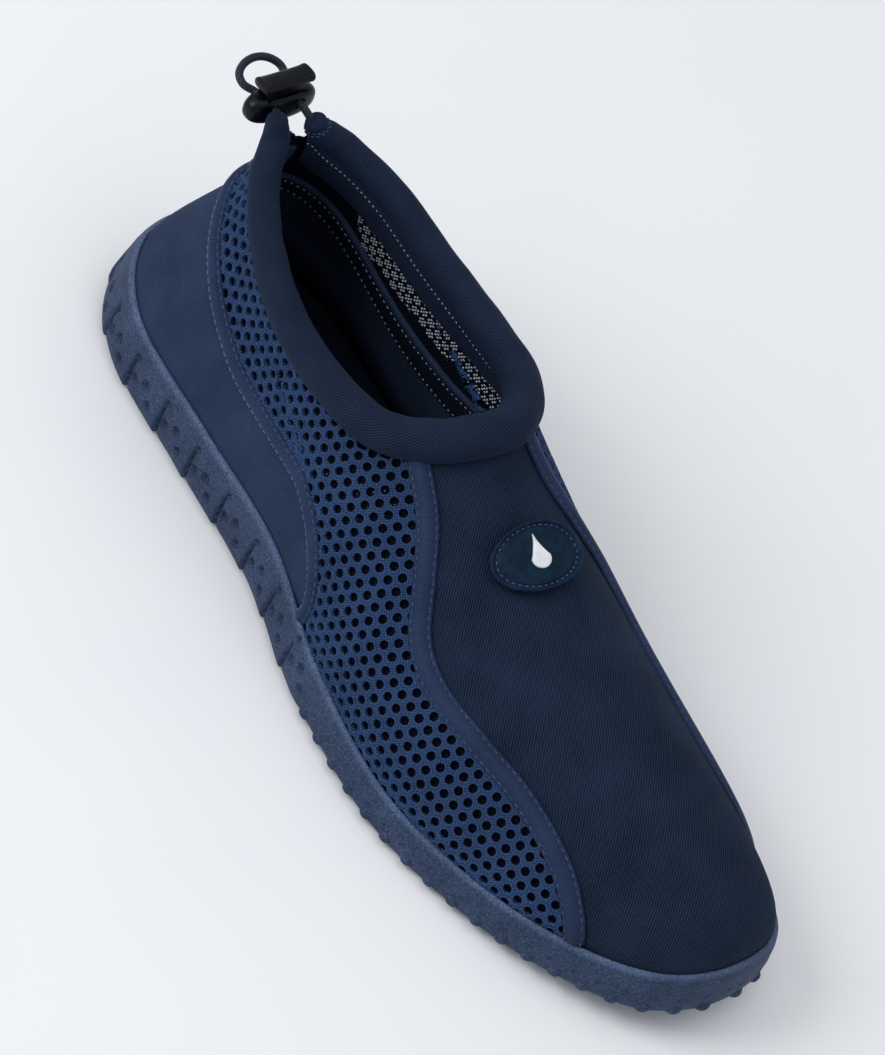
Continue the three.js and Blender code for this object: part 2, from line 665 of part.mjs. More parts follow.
function lockPlunger() {
  const headLow = lockTop + lockTravel + gap;
  const stem = toSolid(slab(chamberLong - 2 * gap, chamberDeep - 2 * gap, stemLow, headLow + 1, 0));
  const head = toSolid(slab(17.2, 6.4, headLow, headLow + 3.1, 0.8));
  let solid = stem.add(head);
  const slotLow = lockHoleUp - cordRadius - 0.15;
  const slotHigh = lockHoleUp + cordRadius + 0.2 + lockTravel;
  for (const side of [-1, 1]) {
    const slot = slab(2.8, lockDepth, slotLow, slotHigh, 0).translate(0, (side * lockHoleApart) / 2, 0);
    solid = solid.subtract(toSolid(slot));
  }
  const pocket = new THREE.CylinderGeometry(springHole, springHole, 8, 20).rotateX(Math.PI / 2);
  return fromSolid(solid.subtract(toSolid(pocket.translate(0, 0, -0.4))));
}
function lockSpring() {
  const wire = 0.25;
  const turns = 4;
  const low = chamberFloor + gap + wire;
  const high = 3.6 - gap - wire;
  const points = Array.from({ length: turns * 9 + 1 }, (_, i) => {
    const turn = (2 * Math.PI * i) / 9;
    return new THREE.Vector3(1.5 * Math.cos(turn), 1.5 * Math.sin(turn), mix(low, high, i / (turns * 9)));
  });
  return cordTube(points, wire, 5, turns * 9);
}

// ---- materials ----
function material(color, roughness, metalness = 0) {
  return new THREE.MeshStandardMaterial({ color, roughness, metalness });
}
const navyRubber = () => material('#3f4c63', 0.7);
const navyNeoprene = () => material('#22304a', 0.85);
const navyJersey = () => material('#2b3750', 0.85);
const navyMesh = () => material('#1b2740', 0.8);
const navyRibbon = () => material('#3d4d67', 0.75);
const navyKnit = () => material('#1b2439', 0.9);
const darkPlastic = () => material('#12161f', 0.35);

// ---- assembly ----
const shoe = new THREE.Group();
shoe.position.set(-origin[0], -origin[1], -origin[2]);
function add(parent, name, geometry, finish) {
  const mesh = new THREE.Mesh(geometry, finish);
  mesh.name = name;
  parent.add(mesh);
}

const foamLift = gap + boardThick + gap;
add(shoe, 'outsole', outsole(), navyRubber());
add(shoe, 'lasting_board', insoleLayer(boardInset, gap, boardThick), material('#b9a98a', 0.9));
add(shoe, 'insole_foam', insoleLayer(foamInset, foamLift, foamThick), material('#20262f', 0.9));
add(shoe, 'insole_sock', insoleLayer(sockInset, foamLift + foamThick + gap, sockThick), navyKnit());
add(shoe, 'heel_panel', heelPanel(), navyJersey());
add(shoe, 'mesh_panel_outer', meshPanel(false), navyMesh());
add(shoe, 'mesh_panel_inner', meshPanel(true), navyMesh());
add(shoe, 'vamp', vampPanel(), navyNeoprene());
add(shoe, 'front_binding_outer', frontBinding(false), navyRibbon());
add(shoe, 'front_binding_inner', frontBinding(true), navyRibbon());
add(shoe, 'heel_binding', heelBinding(), navyRibbon());
add(shoe, 'heel_seam_tape', heelTape(), navyRibbon());
add(shoe, 'collar_cover', fromSolid(cover), navyKnit());
add(shoe, 'collar_foam', fromSolid(foam), material('#8d8f92', 0.95));
add(shoe, 'collar_facing', collarFacing(), navyKnit());
add(shoe, 'drawcord', cordTube(route, cordRadius, 8, cordSteps), material('#151925', 0.5));
add(shoe, 'badge_base', badgeBase(), material('#182a38', 0.5));
add(shoe, 'badge_drop', badgeDrop(), material('#e8ebee', 0.5));

const lock = new THREE.Group();
lock.position.set(...lockPlace);
lock.rotation.y = THREE.MathUtils.degToRad(lockTilt);
shoe.add(lock);
add(lock, 'cord_lock_barrel', lockBarrel(), darkPlastic());
add(lock, 'cord_lock_plunger', lockPlunger(), darkPlastic());
add(lock, 'cord_lock_spring', lockSpring(), material('#b8bcc2', 0.3, 1));

export default shoe;
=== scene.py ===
import math

import bmesh
import bpy
import numpy as np
from mathutils import Matrix, Vector


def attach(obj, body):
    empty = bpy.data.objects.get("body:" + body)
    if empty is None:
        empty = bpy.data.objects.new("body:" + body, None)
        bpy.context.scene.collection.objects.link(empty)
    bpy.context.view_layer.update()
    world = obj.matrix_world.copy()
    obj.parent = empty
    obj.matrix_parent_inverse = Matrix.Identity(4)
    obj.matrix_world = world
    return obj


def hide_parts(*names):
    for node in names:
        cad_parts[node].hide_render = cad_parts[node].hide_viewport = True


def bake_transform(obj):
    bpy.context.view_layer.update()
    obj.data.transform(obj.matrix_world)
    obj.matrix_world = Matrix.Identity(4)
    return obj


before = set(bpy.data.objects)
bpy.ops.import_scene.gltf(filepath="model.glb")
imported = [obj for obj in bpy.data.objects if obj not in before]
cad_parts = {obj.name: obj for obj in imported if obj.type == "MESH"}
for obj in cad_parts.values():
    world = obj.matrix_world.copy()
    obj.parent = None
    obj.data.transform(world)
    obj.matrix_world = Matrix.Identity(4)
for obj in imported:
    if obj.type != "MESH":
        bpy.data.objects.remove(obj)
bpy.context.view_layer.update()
print("frame loaded")

# Lengths below are in mm in the shoe's own layout, heel at x 0; toRow moves them into the frame in metres.
form = {
    "origin": (137.125, -1.198, 0.0),  # ground point under the middle of the shoe
    "gap": 0.3,
    "upperThick": 2.7,
    "cupDepthShare": 0.15,
    "soleThickHeel": 10.0,
    "soleThickToe": 7.0,
    "toeSpringFrom": 200.0,
    "toeSpring": 9.0,
    "heelBevelFrom": 25.0,
    "heelBevel": 3.0,
    # where the upper meets the rim of the cup, from the heel round the outer side to the toe and back
    "rim": [
        (4.6, 1.7, 26.7), (7.3, -20.4, 24.1), (29, -33.5, 20), (67.5, -35, 19), (107.5, -36, 18.4),
        (147.5, -44.5, 14.5), (187.5, -46, 12), (221.5, -37.6, 13), (249.5, -25, 17), (270, -9.3, 23),
        (276.5, 11.6, 26), (269.5, 32, 23.4), (245, 40.5, 18), (208, 43.7, 15.5), (170, 43.2, 16.5),
        (125, 36, 19.3), (80, 32.5, 21.6), (36.5, 31.5, 24.3), (12.7, 21.8, 26.8),
    ],
    "toeIndex": 10,
    # middle of the collar roll, outer end at the heel to inner end
    "collar": [
        (17.4, -7.3, 89), (19.8, -7, 83.5), (28, -13.4, 76.8), (44, -20.4, 71.2), (64, -25.2, 67.6),
        (86, -25.4, 66.2), (106, -21.4, 67.6), (118, -11.5, 72.6), (123, 2.4, 76), (121.8, 14.7, 75.4),
        (109.5, 26.7, 72.1), (86.3, 29.4, 69.6), (64, 27.6, 70.6), (43, 23.3, 75.3), (27, 15, 80),
        (21.5, 8, 84), (20, 5.8, 87),
    ],
    "heelTop": (16, 0, 78.5),
    # side values by place round the shoe, 0 at the heel and 0.5 at the toe
    "collarSlope": [(0, 94), (0.15, 86), (0.25, 52), (0.33, 40), (0.42, 39), (0.5, 37)],
    "wallLean": [(0, 2), (0.2, 1.2), (0.35, 9), (0.42, 0), (0.5, 5)],
    "rimPull": [(0, 0.6), (0.2, 0.66), (0.35, 0.44), (0.42, 0.47), (0.46, 0.44), (0.5, 0.45)],
    "collarPull": [(0, 0.95), (0.2, 0.87), (0.35, 0.84), (0.42, 0.81), (0.46, 0.81), (0.5, 0.85)],
    "collarRadius": [(0, 3.3), (0.06, 4.1), (0.18, 4.8), (0.35, 5.8), (0.5, 6.4)],
    # seams as (place round the shoe, height from rim 0 to collar 1)
    "frontSeam": [
        (0.425, 0), (0.424, 0.12), (0.421, 0.25), (0.408, 0.355), (0.385, 0.42), (0.358, 0.485),
        (0.351, 0.57), (0.364, 0.7), (0.379, 0.84), (0.373, 1),
    ],
    "heelSeamTop": [
        (0.236, 0.505), (0.222, 0.515), (0.19, 0.465), (0.15, 0.445), (0.12, 0.49), (0.08, 0.585),
        (0.04, 0.64), (0, 0.66),
    ],
    "heelSeamRise": [(0.233, 0), (0.237, 0.15), (0.24, 0.32), (0.236, 0.505)],
}


def toRow(points):
    return (np.asarray(points, float) - form["origin"]) / 1000


def unit(v):
    return v / np.linalg.norm(v, axis=-1, keepdims=True)


def catmull(points, t, closed=False):
    p = np.asarray(points, float)
    n = len(p)
    if closed:
        at = np.mod(t, 1.0) * n
        k = np.floor(at).astype(int)
        f = at - k
        a, b, c, d = (p[(k + s) % n] for s in (-1, 0, 1, 2))
    else:
        full = np.vstack([2 * p[0] - p[1], p, 2 * p[-1] - p[-2]])
        at = np.clip(t, 0, 1) * (n - 1)
        k = np.minimum(np.floor(at).astype(int), n - 2)
        f = at - k
        a, b, c, d = (full[k + s] for s in (0, 1, 2, 3))
    f = np.asarray(f)[..., None]
    return 0.5 * (2 * b + (c - a) * f + (2 * a - 5 * b + 4 * c - d) * f**2 + (3 * b - a - 3 * c + d) * f**3)


# A value that runs smoothly through a half table and is mirrored to the other side of the shoe.
def sideValue(table, place):
    keys, values = np.array(table, float).T
    s = np.mod(place, 1.0)
    s = np.where(s > 0.5, 1 - s, s)
    wideKeys = np.concatenate([[-keys[1]], keys, [1 - keys[-2]]])
    wideValues = np.concatenate([[values[1]], values, [values[-2]]])
    k = np.clip(np.searchsorted(keys, s, side="right") - 1, 0, len(keys) - 2) + 1
    h = wideKeys[k + 1] - wideKeys[k]
    f = (s - wideKeys[k]) / h
    m0 = (wideValues[k + 1] - wideValues[k - 1]) / (wideKeys[k + 1] - wideKeys[k - 1]) * h
    m1 = (wideValues[k + 2] - wideValues[k]) / (wideKeys[k + 2] - wideKeys[k]) * h
    g = 1 - f
    return (1 + 2 * f) * g * g * wideValues[k] + f * g * g * m0 + f * f * (3 - 2 * f) * wideValues[k + 1] - f * f * g * m1


rimSteps = 1900
rimSamples = catmull(form["rim"], np.arange(rimSteps + 1) / rimSteps, closed=True)
rimLengths = np.concatenate([[0], np.cumsum(np.linalg.norm(np.diff(rimSamples, axis=0), axis=1))])
toeLength = rimLengths[round(form["toeIndex"] / len(form["rim"]) * rimSteps)]
throatPoints = [form["heelTop"], *form["collar"][2:-2]]


def rimAt(place):
    s = np.mod(place, 1.0)
    want = np.where(s <= 0.5, s * 2 * toeLength, toeLength + (s * 2 - 1) * (rimLengths[-1] - toeLength))
    return catmull(form["rim"], np.interp(want, rimLengths, np.arange(rimSteps + 1) / rimSteps), closed=True)


def throatAt(place):
    turn = 2 * np.pi * np.asarray(place)
    return catmull(throatPoints, place + 0.032 * np.sin(turn) - 0.012 * np.sin(2 * turn), closed=True)


def groundLift(x):
    toe = np.maximum(0, (x - form["toeSpringFrom"]) / 80)
    heel = np.maximum(0, (form["heelBevelFrom"] - x) / form["heelBevelFrom"])
    return form["toeSpring"] * toe**2 + form["heelBevel"] * heel**2


def cupFloor(x):
    share = np.clip((150 - x) / 100, 0, 1)
    return groundLift(x) + form["soleThickToe"] + share * (form["soleThickHeel"] - form["soleThickToe"])


# Outer face of the upper, as on the bare frame: height 0 at the rim, 1 on the collar roll, below 0 in the cup.
def shellPoint(place, height):
    place, height = np.broadcast_arrays(np.asarray(place, float), np.asarray(height, float))
    rim = rimAt(place)
    edge = throatAt(place)
    rise = edge - rim
    length = np.linalg.norm(rise, axis=-1, keepdims=True)
    inward = unit(rise * (1, 1, 0))
    slope = np.radians(sideValue(form["collarSlope"], place))[..., None]
    lean = np.radians(sideValue(form["wallLean"], place))[..., None]
    upward = np.array([0.0, 0.0, 1.0])
    start = (upward * np.cos(lean) - inward * np.sin(lean)) * length * sideValue(form["rimPull"], place)[..., None]
    finish = (upward * np.sin(slope) + inward * np.cos(slope)) * length * sideValue(form["collarPull"], place)[..., None]
    f = np.maximum(height, 0)[..., None]
    g = 1 - f
    p = rim * (1 + 2 * f) * g**2 + start * f * g**2 + edge * f**2 * (3 - 2 * f) - finish * f**2 * g
    depth = rim[..., 2] - cupFloor(rim[..., 0]) - form["gap"]
    p[..., 2] += np.minimum(height, 0) / form["cupDepthShare"] * depth
    return p


def shellFrame(place, height):
    h = np.minimum(height, 0.999)
    along = (shellPoint(place + 1e-3, h) - shellPoint(place - 1e-3, h)) * 500
    up = (shellPoint(place, h + 1e-3) - shellPoint(place, h - 1e-3)) * 500
    return along, up, unit(np.cross(along, up))


def shellOffset(place, height, out):
    out = np.asarray(out, float)
    return shellPoint(place, height) + shellFrame(place, height)[2] * (out[..., None] if out.ndim else out)


rollPoints = catmull(form["collar"], np.linspace(0, 1, 161))
rollRadii = sideValue(form["collarRadius"], np.linspace(0, 1, 161))


# Height at which the upper goes under the collar roll.
def topHeight(place):
    place = np.atleast_1d(np.asarray(place, float))
    low = np.full(len(place), 0.5)
    high = np.ones(len(place))
    for _ in range(18):
        middle = (low + high) / 2
        away = np.linalg.norm(shellPoint(place, middle)[:, None] - rollPoints, axis=2) - rollRadii - 0.5
        clear = away.min(1) > 0
        low = np.where(clear, middle, low)
        high = np.where(clear, high, middle)
    return low


# Moves a seam sideways over the shell by a distance in mm, to the left of its direction.
def shiftSeam(seam, distance):
    seam = np.asarray(seam, float)
    wide = np.vstack([seam[:1], seam, seam[-1:]])
    step = wide[2:] - wide[:-2]
    along, up, normal = shellFrame(seam[:, 0], seam[:, 1])
    run = along * step[:, :1] + up * step[:, 1:]
    side = unit(np.cross(normal, run)) * np.broadcast_to(distance, len(seam))[:, None]
    aa, au, uu = ((p * q).sum(1) for p, q in ((along, along), (along, up), (up, up)))
    sa, su = (side * along).sum(1), (side * up).sum(1)
    det = aa * uu - au**2
    return seam + np.stack([(sa * uu - su * au) / det, (su * aa - sa * au) / det], 1)


def sampleSeam(points, count):
    return catmull(points, np.linspace(0, 1, count + 1))


def line(a, b, count):
    return np.linspace(a, b, count + 1)


def mirrored(seam):
    return np.stack([1 - seam[:, 0], seam[:, 1]], 1)


# A seam cut again into even lengths on the shell, or at the given shares of its length.
def evenSeam(seam, shares):
    points = shellPoint(seam[:, 0], seam[:, 1])
    lengths = np.concatenate([[0], np.cumsum(np.linalg.norm(np.diff(points, axis=0), axis=1))])
    shares = np.linspace(0, 1, shares + 1) if np.isscalar(shares) else shares
    return np.stack([np.interp(shares * lengths[-1], lengths, seam[:, k]) for k in (0, 1)], 1)


def patchBetween(bottom, top, left, right, shares):
    s = np.linspace(0, 1, len(bottom))[:, None, None]
    r = np.asarray(shares)[None, :, None]
    edges = bottom[:, None] * (1 - r) + top[:, None] * r + left[None] * (1 - s) + right[None] * s
    corners = (bottom[0] * (1 - s) + bottom[-1] * s) * (1 - r) + (top[0] * (1 - s) + top[-1] * s) * r
    return edges - corners


scene = bpy.context.scene


view = {
    "turn": 29.925,  # degrees round the shoe from its outer side
    "tip": 48.723,  # degrees above the floor
    "roll": 33.109,
    "distance": 2013.0,  # mm
    "target": (129.384, -0.079, 40.0),
    "sensor": 36.0,  # mm
    "lens": 245.292159,  # mm
}


def placeCamera():
    turn, tip, roll = (math.radians(view[k]) for k in ("turn", "tip", "roll"))
    back = Vector((math.sin(turn) * math.cos(tip), -math.cos(turn) * math.cos(tip), math.sin(tip)))
    level = Vector((math.cos(turn), math.sin(turn), 0))
    upward = back.cross(level)
    right = level * math.cos(roll) + upward * math.sin(roll)
    top = upward * math.cos(roll) - level * math.sin(roll)
    data = bpy.data.cameras.new("camera")
    data.sensor_width = view["sensor"]
    data.lens = view["lens"]
    camera = bpy.data.objects.new("camera", data)
    place = Vector(toRow(view["target"])) + back * view["distance"] / 1000
    axes = Matrix((right, top, back)).transposed().to_4x4()
    camera.matrix_world = Matrix.Translation(place) @ axes
    scene.collection.objects.link(camera)
    scene.camera = camera


scene.view_settings.view_transform = "Standard"  # keeps cloth colours true to their hex values
placeCamera()
print("camera placed")


# Making meshes.
def addObject(name, mesh):
    obj = bpy.data.objects.new(name, mesh)
    scene.collection.objects.link(obj)
    return obj


# A mesh from a grid of points; wrapRows or wrapColumns close it round, fill closes ring ends with cross strips.
def gridMesh(name, grid, uv=None, wrapColumns=False, wrapRows=False, fill="", flip=False):
    rows, cols = grid.shape[:2]
    lastRow, lastCol = rows - (not wrapRows), cols - (not wrapColumns)
    i, j = np.meshgrid(np.arange(lastRow), np.arange(lastCol), indexing="ij")
    cornersRow = np.stack([i, i + 1, i + 1, i], -1).reshape(-1, 4)
    cornersCol = np.stack([j, j, j + 1, j + 1], -1).reshape(-1, 4)
    faces = (cornersRow % rows) * cols + cornersCol % cols
    faceList = faces.tolist()
    for end in fill:
        base = 0 if end == "s" else (rows - 1) * cols
        half = cols // 2
        extra = [[base, base + 1, base + cols - 1]]
        extra += [[base + k, base + k + 1, base + cols - k - 1, base + cols - k] for k in range(1, half - 1)]
        extra += [[base + half - 1, base + half, base + half + 1]]
        faceList += extra if end == "s" else [f[::-1] for f in extra]
    if flip:
        faceList = [f[::-1] for f in faceList]
    mesh = bpy.data.meshes.new(name)
    mesh.from_pydata(toRow(grid.reshape(-1, 3)).tolist(), [], faceList)
    if uv is not None:
        order = faces.shape[0] * 4
        values = uv[cornersRow, cornersCol].reshape(-1, 4, 2) / 1000
        if flip:
            values = values[:, ::-1]
        layer = mesh.uv_layers.new(name="UVMap")
        flat = np.zeros(len(mesh.loops) * 2)
        flat[: order * 2] = values.ravel()
        layer.data.foreach_set("uv", flat)
    mesh.polygons.foreach_set("use_smooth", [True] * len(mesh.polygons))
    mesh.validate()
    return addObject(name, mesh)


def gridLengths(grid):
    across = np.zeros(grid.shape[:2])
    across[1:] = np.cumsum(np.linalg.norm(np.diff(grid, axis=0), axis=2), axis=0)
    upward = np.zeros(grid.shape[:2])
    upward[:, 1:] = np.cumsum(np.linalg.norm(np.diff(grid, axis=1), axis=2), axis=1)
    return across, upward


# Lays a sheet's UV map out flat like a cut pattern, in metres, with the shoe's length along U.
def flatPattern(obj):
    bpy.context.view_layer.objects.active = obj
    obj.select_set(True)
    bpy.ops.object.mode_set(mode="EDIT")
    bpy.ops.mesh.select_all(action="SELECT")
    bpy.ops.uv.unwrap(method="MINIMUM_STRETCH", iterations=40, margin=0)
    bpy.ops.object.mode_set(mode="OBJECT")
    obj.select_set(False)
    mesh = obj.data
    uv = np.zeros(len(mesh.loops) * 2)
    mesh.uv_layers.active.data.foreach_get("uv", uv)
    uv = uv.reshape(-1, 2)
    places = np.zeros(len(mesh.vertices) * 3)
    mesh.vertices.foreach_get("co", places)
    loops = np.zeros(len(mesh.loops), int)
    mesh.loops.foreach_get("vertex_index", loops)
    corners = places.reshape(-1, 3)[loops]
    quadUv, quadPoints = uv.reshape(-1, 4, 2), corners.reshape(-1, 4, 3)
    a, b = quadUv[:, 2] - quadUv[:, 0], quadUv[:, 3] - quadUv[:, 1]
    flatArea = np.abs(a[:, 0] * b[:, 1] - a[:, 1] * b[:, 0]).sum()
    p, q = quadPoints[:, 2] - quadPoints[:, 0], quadPoints[:, 3] - quadPoints[:, 1]
    realArea = np.linalg.norm(np.cross(p, q), axis=1).sum()
    uv = (uv - uv.mean(0)) * math.sqrt(realArea / flatArea)
    design = np.column_stack([uv, np.ones(len(uv))])
    lengthwise = np.linalg.lstsq(design, corners[:, 0], rcond=None)[0][:2]
    turn = math.atan2(lengthwise[1], lengthwise[0])
    c, s = math.cos(turn), math.sin(turn)
    uv = uv @ np.array([[c, -s], [s, c]])
    mesh.uv_layers.active.data.foreach_set("uv", uv.ravel())
    return uv


def applied(obj):
    graph = bpy.context.evaluated_depsgraph_get()
    mesh = bpy.data.meshes.new_from_object(obj.evaluated_get(graph))
    obj.modifiers.clear()
    obj.data = mesh
    return obj


# Gives a one-sided sheet its thickness, inwards from its face.
def thicken(obj, thick):
    solid = obj.modifiers.new("thickness", "SOLIDIFY")
    solid.thickness = thick / 1000
    solid.offset = -1
    return applied(obj)


def finishPiece(obj, body, slotName, material, *nodes):
    obj.data.materials.clear()
    obj.data.materials.append(material)
    if body:
        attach(obj, body)
    if nodes:
        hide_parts(*nodes)
    return obj


# Nodes.
def addNode(tree, kind, inputs=None, **settings):
    node = tree.nodes.new(kind)
    for key, value in settings.items():
        setattr(node, key, value)
    for key, value in (inputs or {}).items():
        if isinstance(value, bpy.types.NodeSocket):
            tree.links.new(value, node.inputs[key])
        else:
            node.inputs[key].default_value = value
    return node


def linear(code):
    parts = [int(code[k : k + 2], 16) / 255 for k in (1, 3, 5)]
    return tuple(p / 12.92 if p <= 0.04045 else ((p + 0.055) / 1.055) ** 2.4 for p in parts) + (1.0,)


def startMaterial(name, roughness=0.8, **sockets):
    material = bpy.data.materials.new(name)
    material.use_nodes = True
    tree = material.node_tree
    tree.nodes.clear()
    surface = addNode(tree, "ShaderNodeBsdfPrincipled", {"Roughness": roughness})
    for key, value in sockets.items():
        surface.inputs[key.replace("_", " ")].default_value = value
    addNode(tree, "ShaderNodeOutputMaterial", {"Surface": surface.outputs[0]})
    return material, tree, surface


def noise(tree, place, size, detail=2.0):
    return addNode(tree, "ShaderNodeTexNoise", {"Vector": place, "Scale": 1000 / size, "Detail": detail}).outputs["Fac"]


# A sine from 0 to 1 that repeats every pitch mm along a direction of the vector.
def ridges(tree, place, pitch, degrees):
    turn = math.radians(degrees)
    scale = 2 * math.pi * 1000 / pitch
    direction = (math.cos(turn) * scale, math.sin(turn) * scale, 0)
    phase = addNode(tree, "ShaderNodeVectorMath", {0: place, 1: direction}, operation="DOT_PRODUCT")
    wave = addNode(tree, "ShaderNodeMath", {0: phase.outputs["Value"]}, operation="SINE")
    return addNode(tree, "ShaderNodeMath", {0: wave.outputs[0], 1: 0.5, 2: 0.5}, operation="MULTIPLY_ADD").outputs[0]


def mathNode(tree, operation, *values):
    return addNode(tree, "ShaderNodeMath", dict(enumerate(values)), operation=operation).outputs[0]


def colours(tree, factor, *stops):
    ramp = addNode(tree, "ShaderNodeValToRGB", {"Fac": factor})
    while len(ramp.color_ramp.elements) < len(stops):
        ramp.color_ramp.elements.new(0.5)
    for element, (at, code) in zip(ramp.color_ramp.elements, stops):
        element.position = at
        element.color = linear(code)
    return ramp.outputs["Color"]


def bump(tree, surface, height, depth, strength=1.0):
    node = addNode(tree, "ShaderNodeBump", {"Height": height, "Distance": depth / 1000, "Strength": strength})
    tree.links.new(node.outputs["Normal"], surface.inputs["Normal"])


def uvPlace(tree):
    return addNode(tree, "ShaderNodeTexCoord").outputs["UV"]


def objectPlace(tree):
    return addNode(tree, "ShaderNodeTexCoord").outputs["Object"]


# A woven or knitted face: diagonal thread lines crossed by finer ones, with uneven dye and a soft sheen; the colour is
# lighter on the tops of the threads and darker in the grooves between them, a painted highlight and painted shade.
def fabric(name, dark, light, pitch, degrees, depth, roughness=0.85, sheen=0.05, cross=0.35):
    material, tree, surface = startMaterial(name, roughness, Sheen_Weight=sheen, Sheen_Roughness=0.4)
    surface.inputs["Sheen Tint"].default_value = linear("#8fa6cc")
    surface.inputs["Specular IOR Level"].default_value = 0.1
    uv = uvPlace(tree)
    lines = ridges(tree, uv, pitch, degrees)
    threads = ridges(tree, uv, pitch * 0.62, degrees + 78)
    woven = mathNode(tree, "MULTIPLY_ADD", threads, cross, lines)
    fuzz = noise(tree, objectPlace(tree), 0.7, 3)
    height = mathNode(tree, "MULTIPLY_ADD", fuzz, 0.6, woven)
    blotch = noise(tree, objectPlace(tree), 14, 2)
    # painted highlight and shade: the colour follows the thread relief, plus blotches of uneven dye
    shade = mathNode(tree, "MULTIPLY_ADD", height, 0.42, mathNode(tree, "MULTIPLY", blotch, 0.35))
    tree.links.new(colours(tree, shade, (0.25, dark), (0.85, light)), surface.inputs["Base Color"])
    bump(tree, surface, height, depth)
    return material


materials = {}
# Neoprene faced with a fine twill: a matt dark navy with barely seen diagonal lines, coarser than life to show.
materials["vampTwill"] = fabric("neoprene_twill_navy", "#02050d", "#283954", 0.75, 52, 0.22)
# Neoprene with a plain jersey face: smoother and a little lighter than the vamp.
materials["heelJersey"] = fabric("neoprene_jersey_navy", "#0e172d", "#374867", 0.55, 40, 0.12)
# Stretch knit round the collar's foam: fine diagonal ribs, soft and dark.
materials["collarKnit"] = fabric("stretch_knit_navy", "#050914", "#212f48", 0.8, 58, 0.08, 0.8, 0.06, 0.5)
# Lining inside the shoe, the same knit in a darker, flatter form.
materials["lining"] = fabric("lining_knit_navy", "#070b15", "#182136", 0.8, 35, 0.06, 0.9, 0.02)
# Woven nylon ribbon: fine ribs across its width, a shade lighter than the panels.
materials["ribbon"] = fabric("woven_ribbon_navy", "#0e192f", "#314365", 0.5, 0, 0.06, 0.5, 0.08, 0.2)
# Air mesh of twisted polyester yarn: bright along the strands, dark between them, a painted highlight on the strands
# and painted shade between them.
materials["meshYarn"] = fabric("air_mesh_yarn_navy", "#02060f", "#46659a", 0.7, 64, 0.3, 0.55, 0.06, 1.1)
# The close knit behind the net: nearly black.
materials["meshBack"] = fabric("air_mesh_backing_navy", "#03060c", "#0c1424", 1.3, 30, 0.1, 0.9, 0.0, 0.9)


# Vulcanised rubber, moulded: matt grey navy with a fine light and dark speckle, paler up the top of its wall and over
# its lip, a painted highlight where these face the light.
def soleRubber():
    material, tree, surface = startMaterial("moulded_rubber_grey_navy", 0.62)
    surface.inputs["Specular IOR Level"].default_value = 0.15
    place = objectPlace(tree)
    fine = noise(tree, place, 0.55, 3)
    cloud = noise(tree, place, 12, 3)
    # painted highlight: this mask makes the rubber paler up the top of the wall and over the lip
    paintedLipHighlight = addNode(tree, "ShaderNodeAttribute", attribute_name="paintedLipHighlight").outputs["Fac"]
    shade = mathNode(tree, "MULTIPLY_ADD", cloud, 0.25, mathNode(tree, "MULTIPLY", fine, 0.75))
    shade = mathNode(tree, "MULTIPLY_ADD", paintedLipHighlight, 0.34, shade)
    stops = (0.3, "#1d2a40"), (0.5, "#313f59"), (0.75, "#4f6080"), (0.95, "#7485a5")
    tree.links.new(colours(tree, shade, *stops), surface.inputs["Base Color"])
    bump(tree, surface, fine, 0.1)
    return material


# A smooth moulded rubber or plastic with a faint orange-peel surface and uneven gloss.
def moulded(name, dark, light, roughness, peel=0.02, gloss=0.3):
    material, tree, surface = startMaterial(name, roughness)
    surface.inputs["Specular IOR Level"].default_value = gloss
    place = objectPlace(tree)
    cloud = noise(tree, place, 3, 2)
    tree.links.new(colours(tree, cloud, (0.3, dark), (0.7, light)), surface.inputs["Base Color"])
    bump(tree, surface, noise(tree, place, 0.6, 2), peel)
    return material


# Braided elastic cord: small crossing bundles of glossy yarn about 0.8 mm long.
def braidedCord():
    material, tree, surface = startMaterial("braided_elastic_navy", 0.45, Sheen_Weight=0.05)
    surface.inputs["Specular IOR Level"].default_value = 0.25
    uv = uvPlace(tree)
    braid = mathNode(tree, "MAXIMUM", ridges(tree, uv, 0.95, 45), ridges(tree, uv, 0.95, -45))
    tree.links.new(colours(tree, braid, (0.35, "#060a15"), (0.95, "#1f293f")), surface.inputs["Base Color"])
    bump(tree, surface, braid, 0.12)
    return material


# Sewing thread: a two-ply twist, a little lighter than what it holds.
def thread(name, dark, light):
    material, tree, surface = startMaterial(name, 0.5, Sheen_Weight=0.05)
    surface.inputs["Specular IOR Level"].default_value = 0.2
    twist = noise(tree, objectPlace(tree), 0.35, 1)
    tree.links.new(colours(tree, twist, (0.3, dark), (0.7, light)), surface.inputs["Base Color"])
    bump(tree, surface, twist, 0.05)
    return material


materials["sole"] = soleRubber()
materials["cord"] = braidedCord()
# Polyester sewing thread in three shades, and white beads inside that stand for specks of light coming through the net,
# painted light.
materials["threadBlue"] = thread("polyester_thread_blue", "#33486d", "#6682ae")
materials["threadNavy"] = thread("polyester_thread_navy", "#16223a", "#425a88")
materials["threadLight"] = thread("polyester_thread_pale", "#66748c", "#b4bfd0")
materials["paintedSpeckWhite"] = thread("white_beads_painted_light", "#a3aebf", "#eef3fa")
# Satin moulded rubber of the badge: navy rim, teal navy field, white drop.
materials["badgeBody"] = moulded("moulded_rubber_navy_satin", "#0c1c34", "#142a45", 0.55, gloss=0.1)
materials["badgeField"] = moulded("moulded_rubber_teal_navy", "#061b2c", "#0c2a3d", 0.55, gloss=0.1)
materials["badgeMark"] = moulded("moulded_rubber_white", "#dfe4ea", "#f4f7fb", 0.45)
# Semi-gloss moulded acetal of the cord lock, a bluish black.
materials["lock"] = moulded("moulded_acetal_black_navy", "#020409", "#060a16", 0.32, gloss=0.2)
# Fine knit on the insole, flat and nearly black.
materials["foamSock"] = fabric("insole_knit_black_navy", "#070b15", "#121a2c", 0.8, 0, 0.06, 0.9, 0.02)


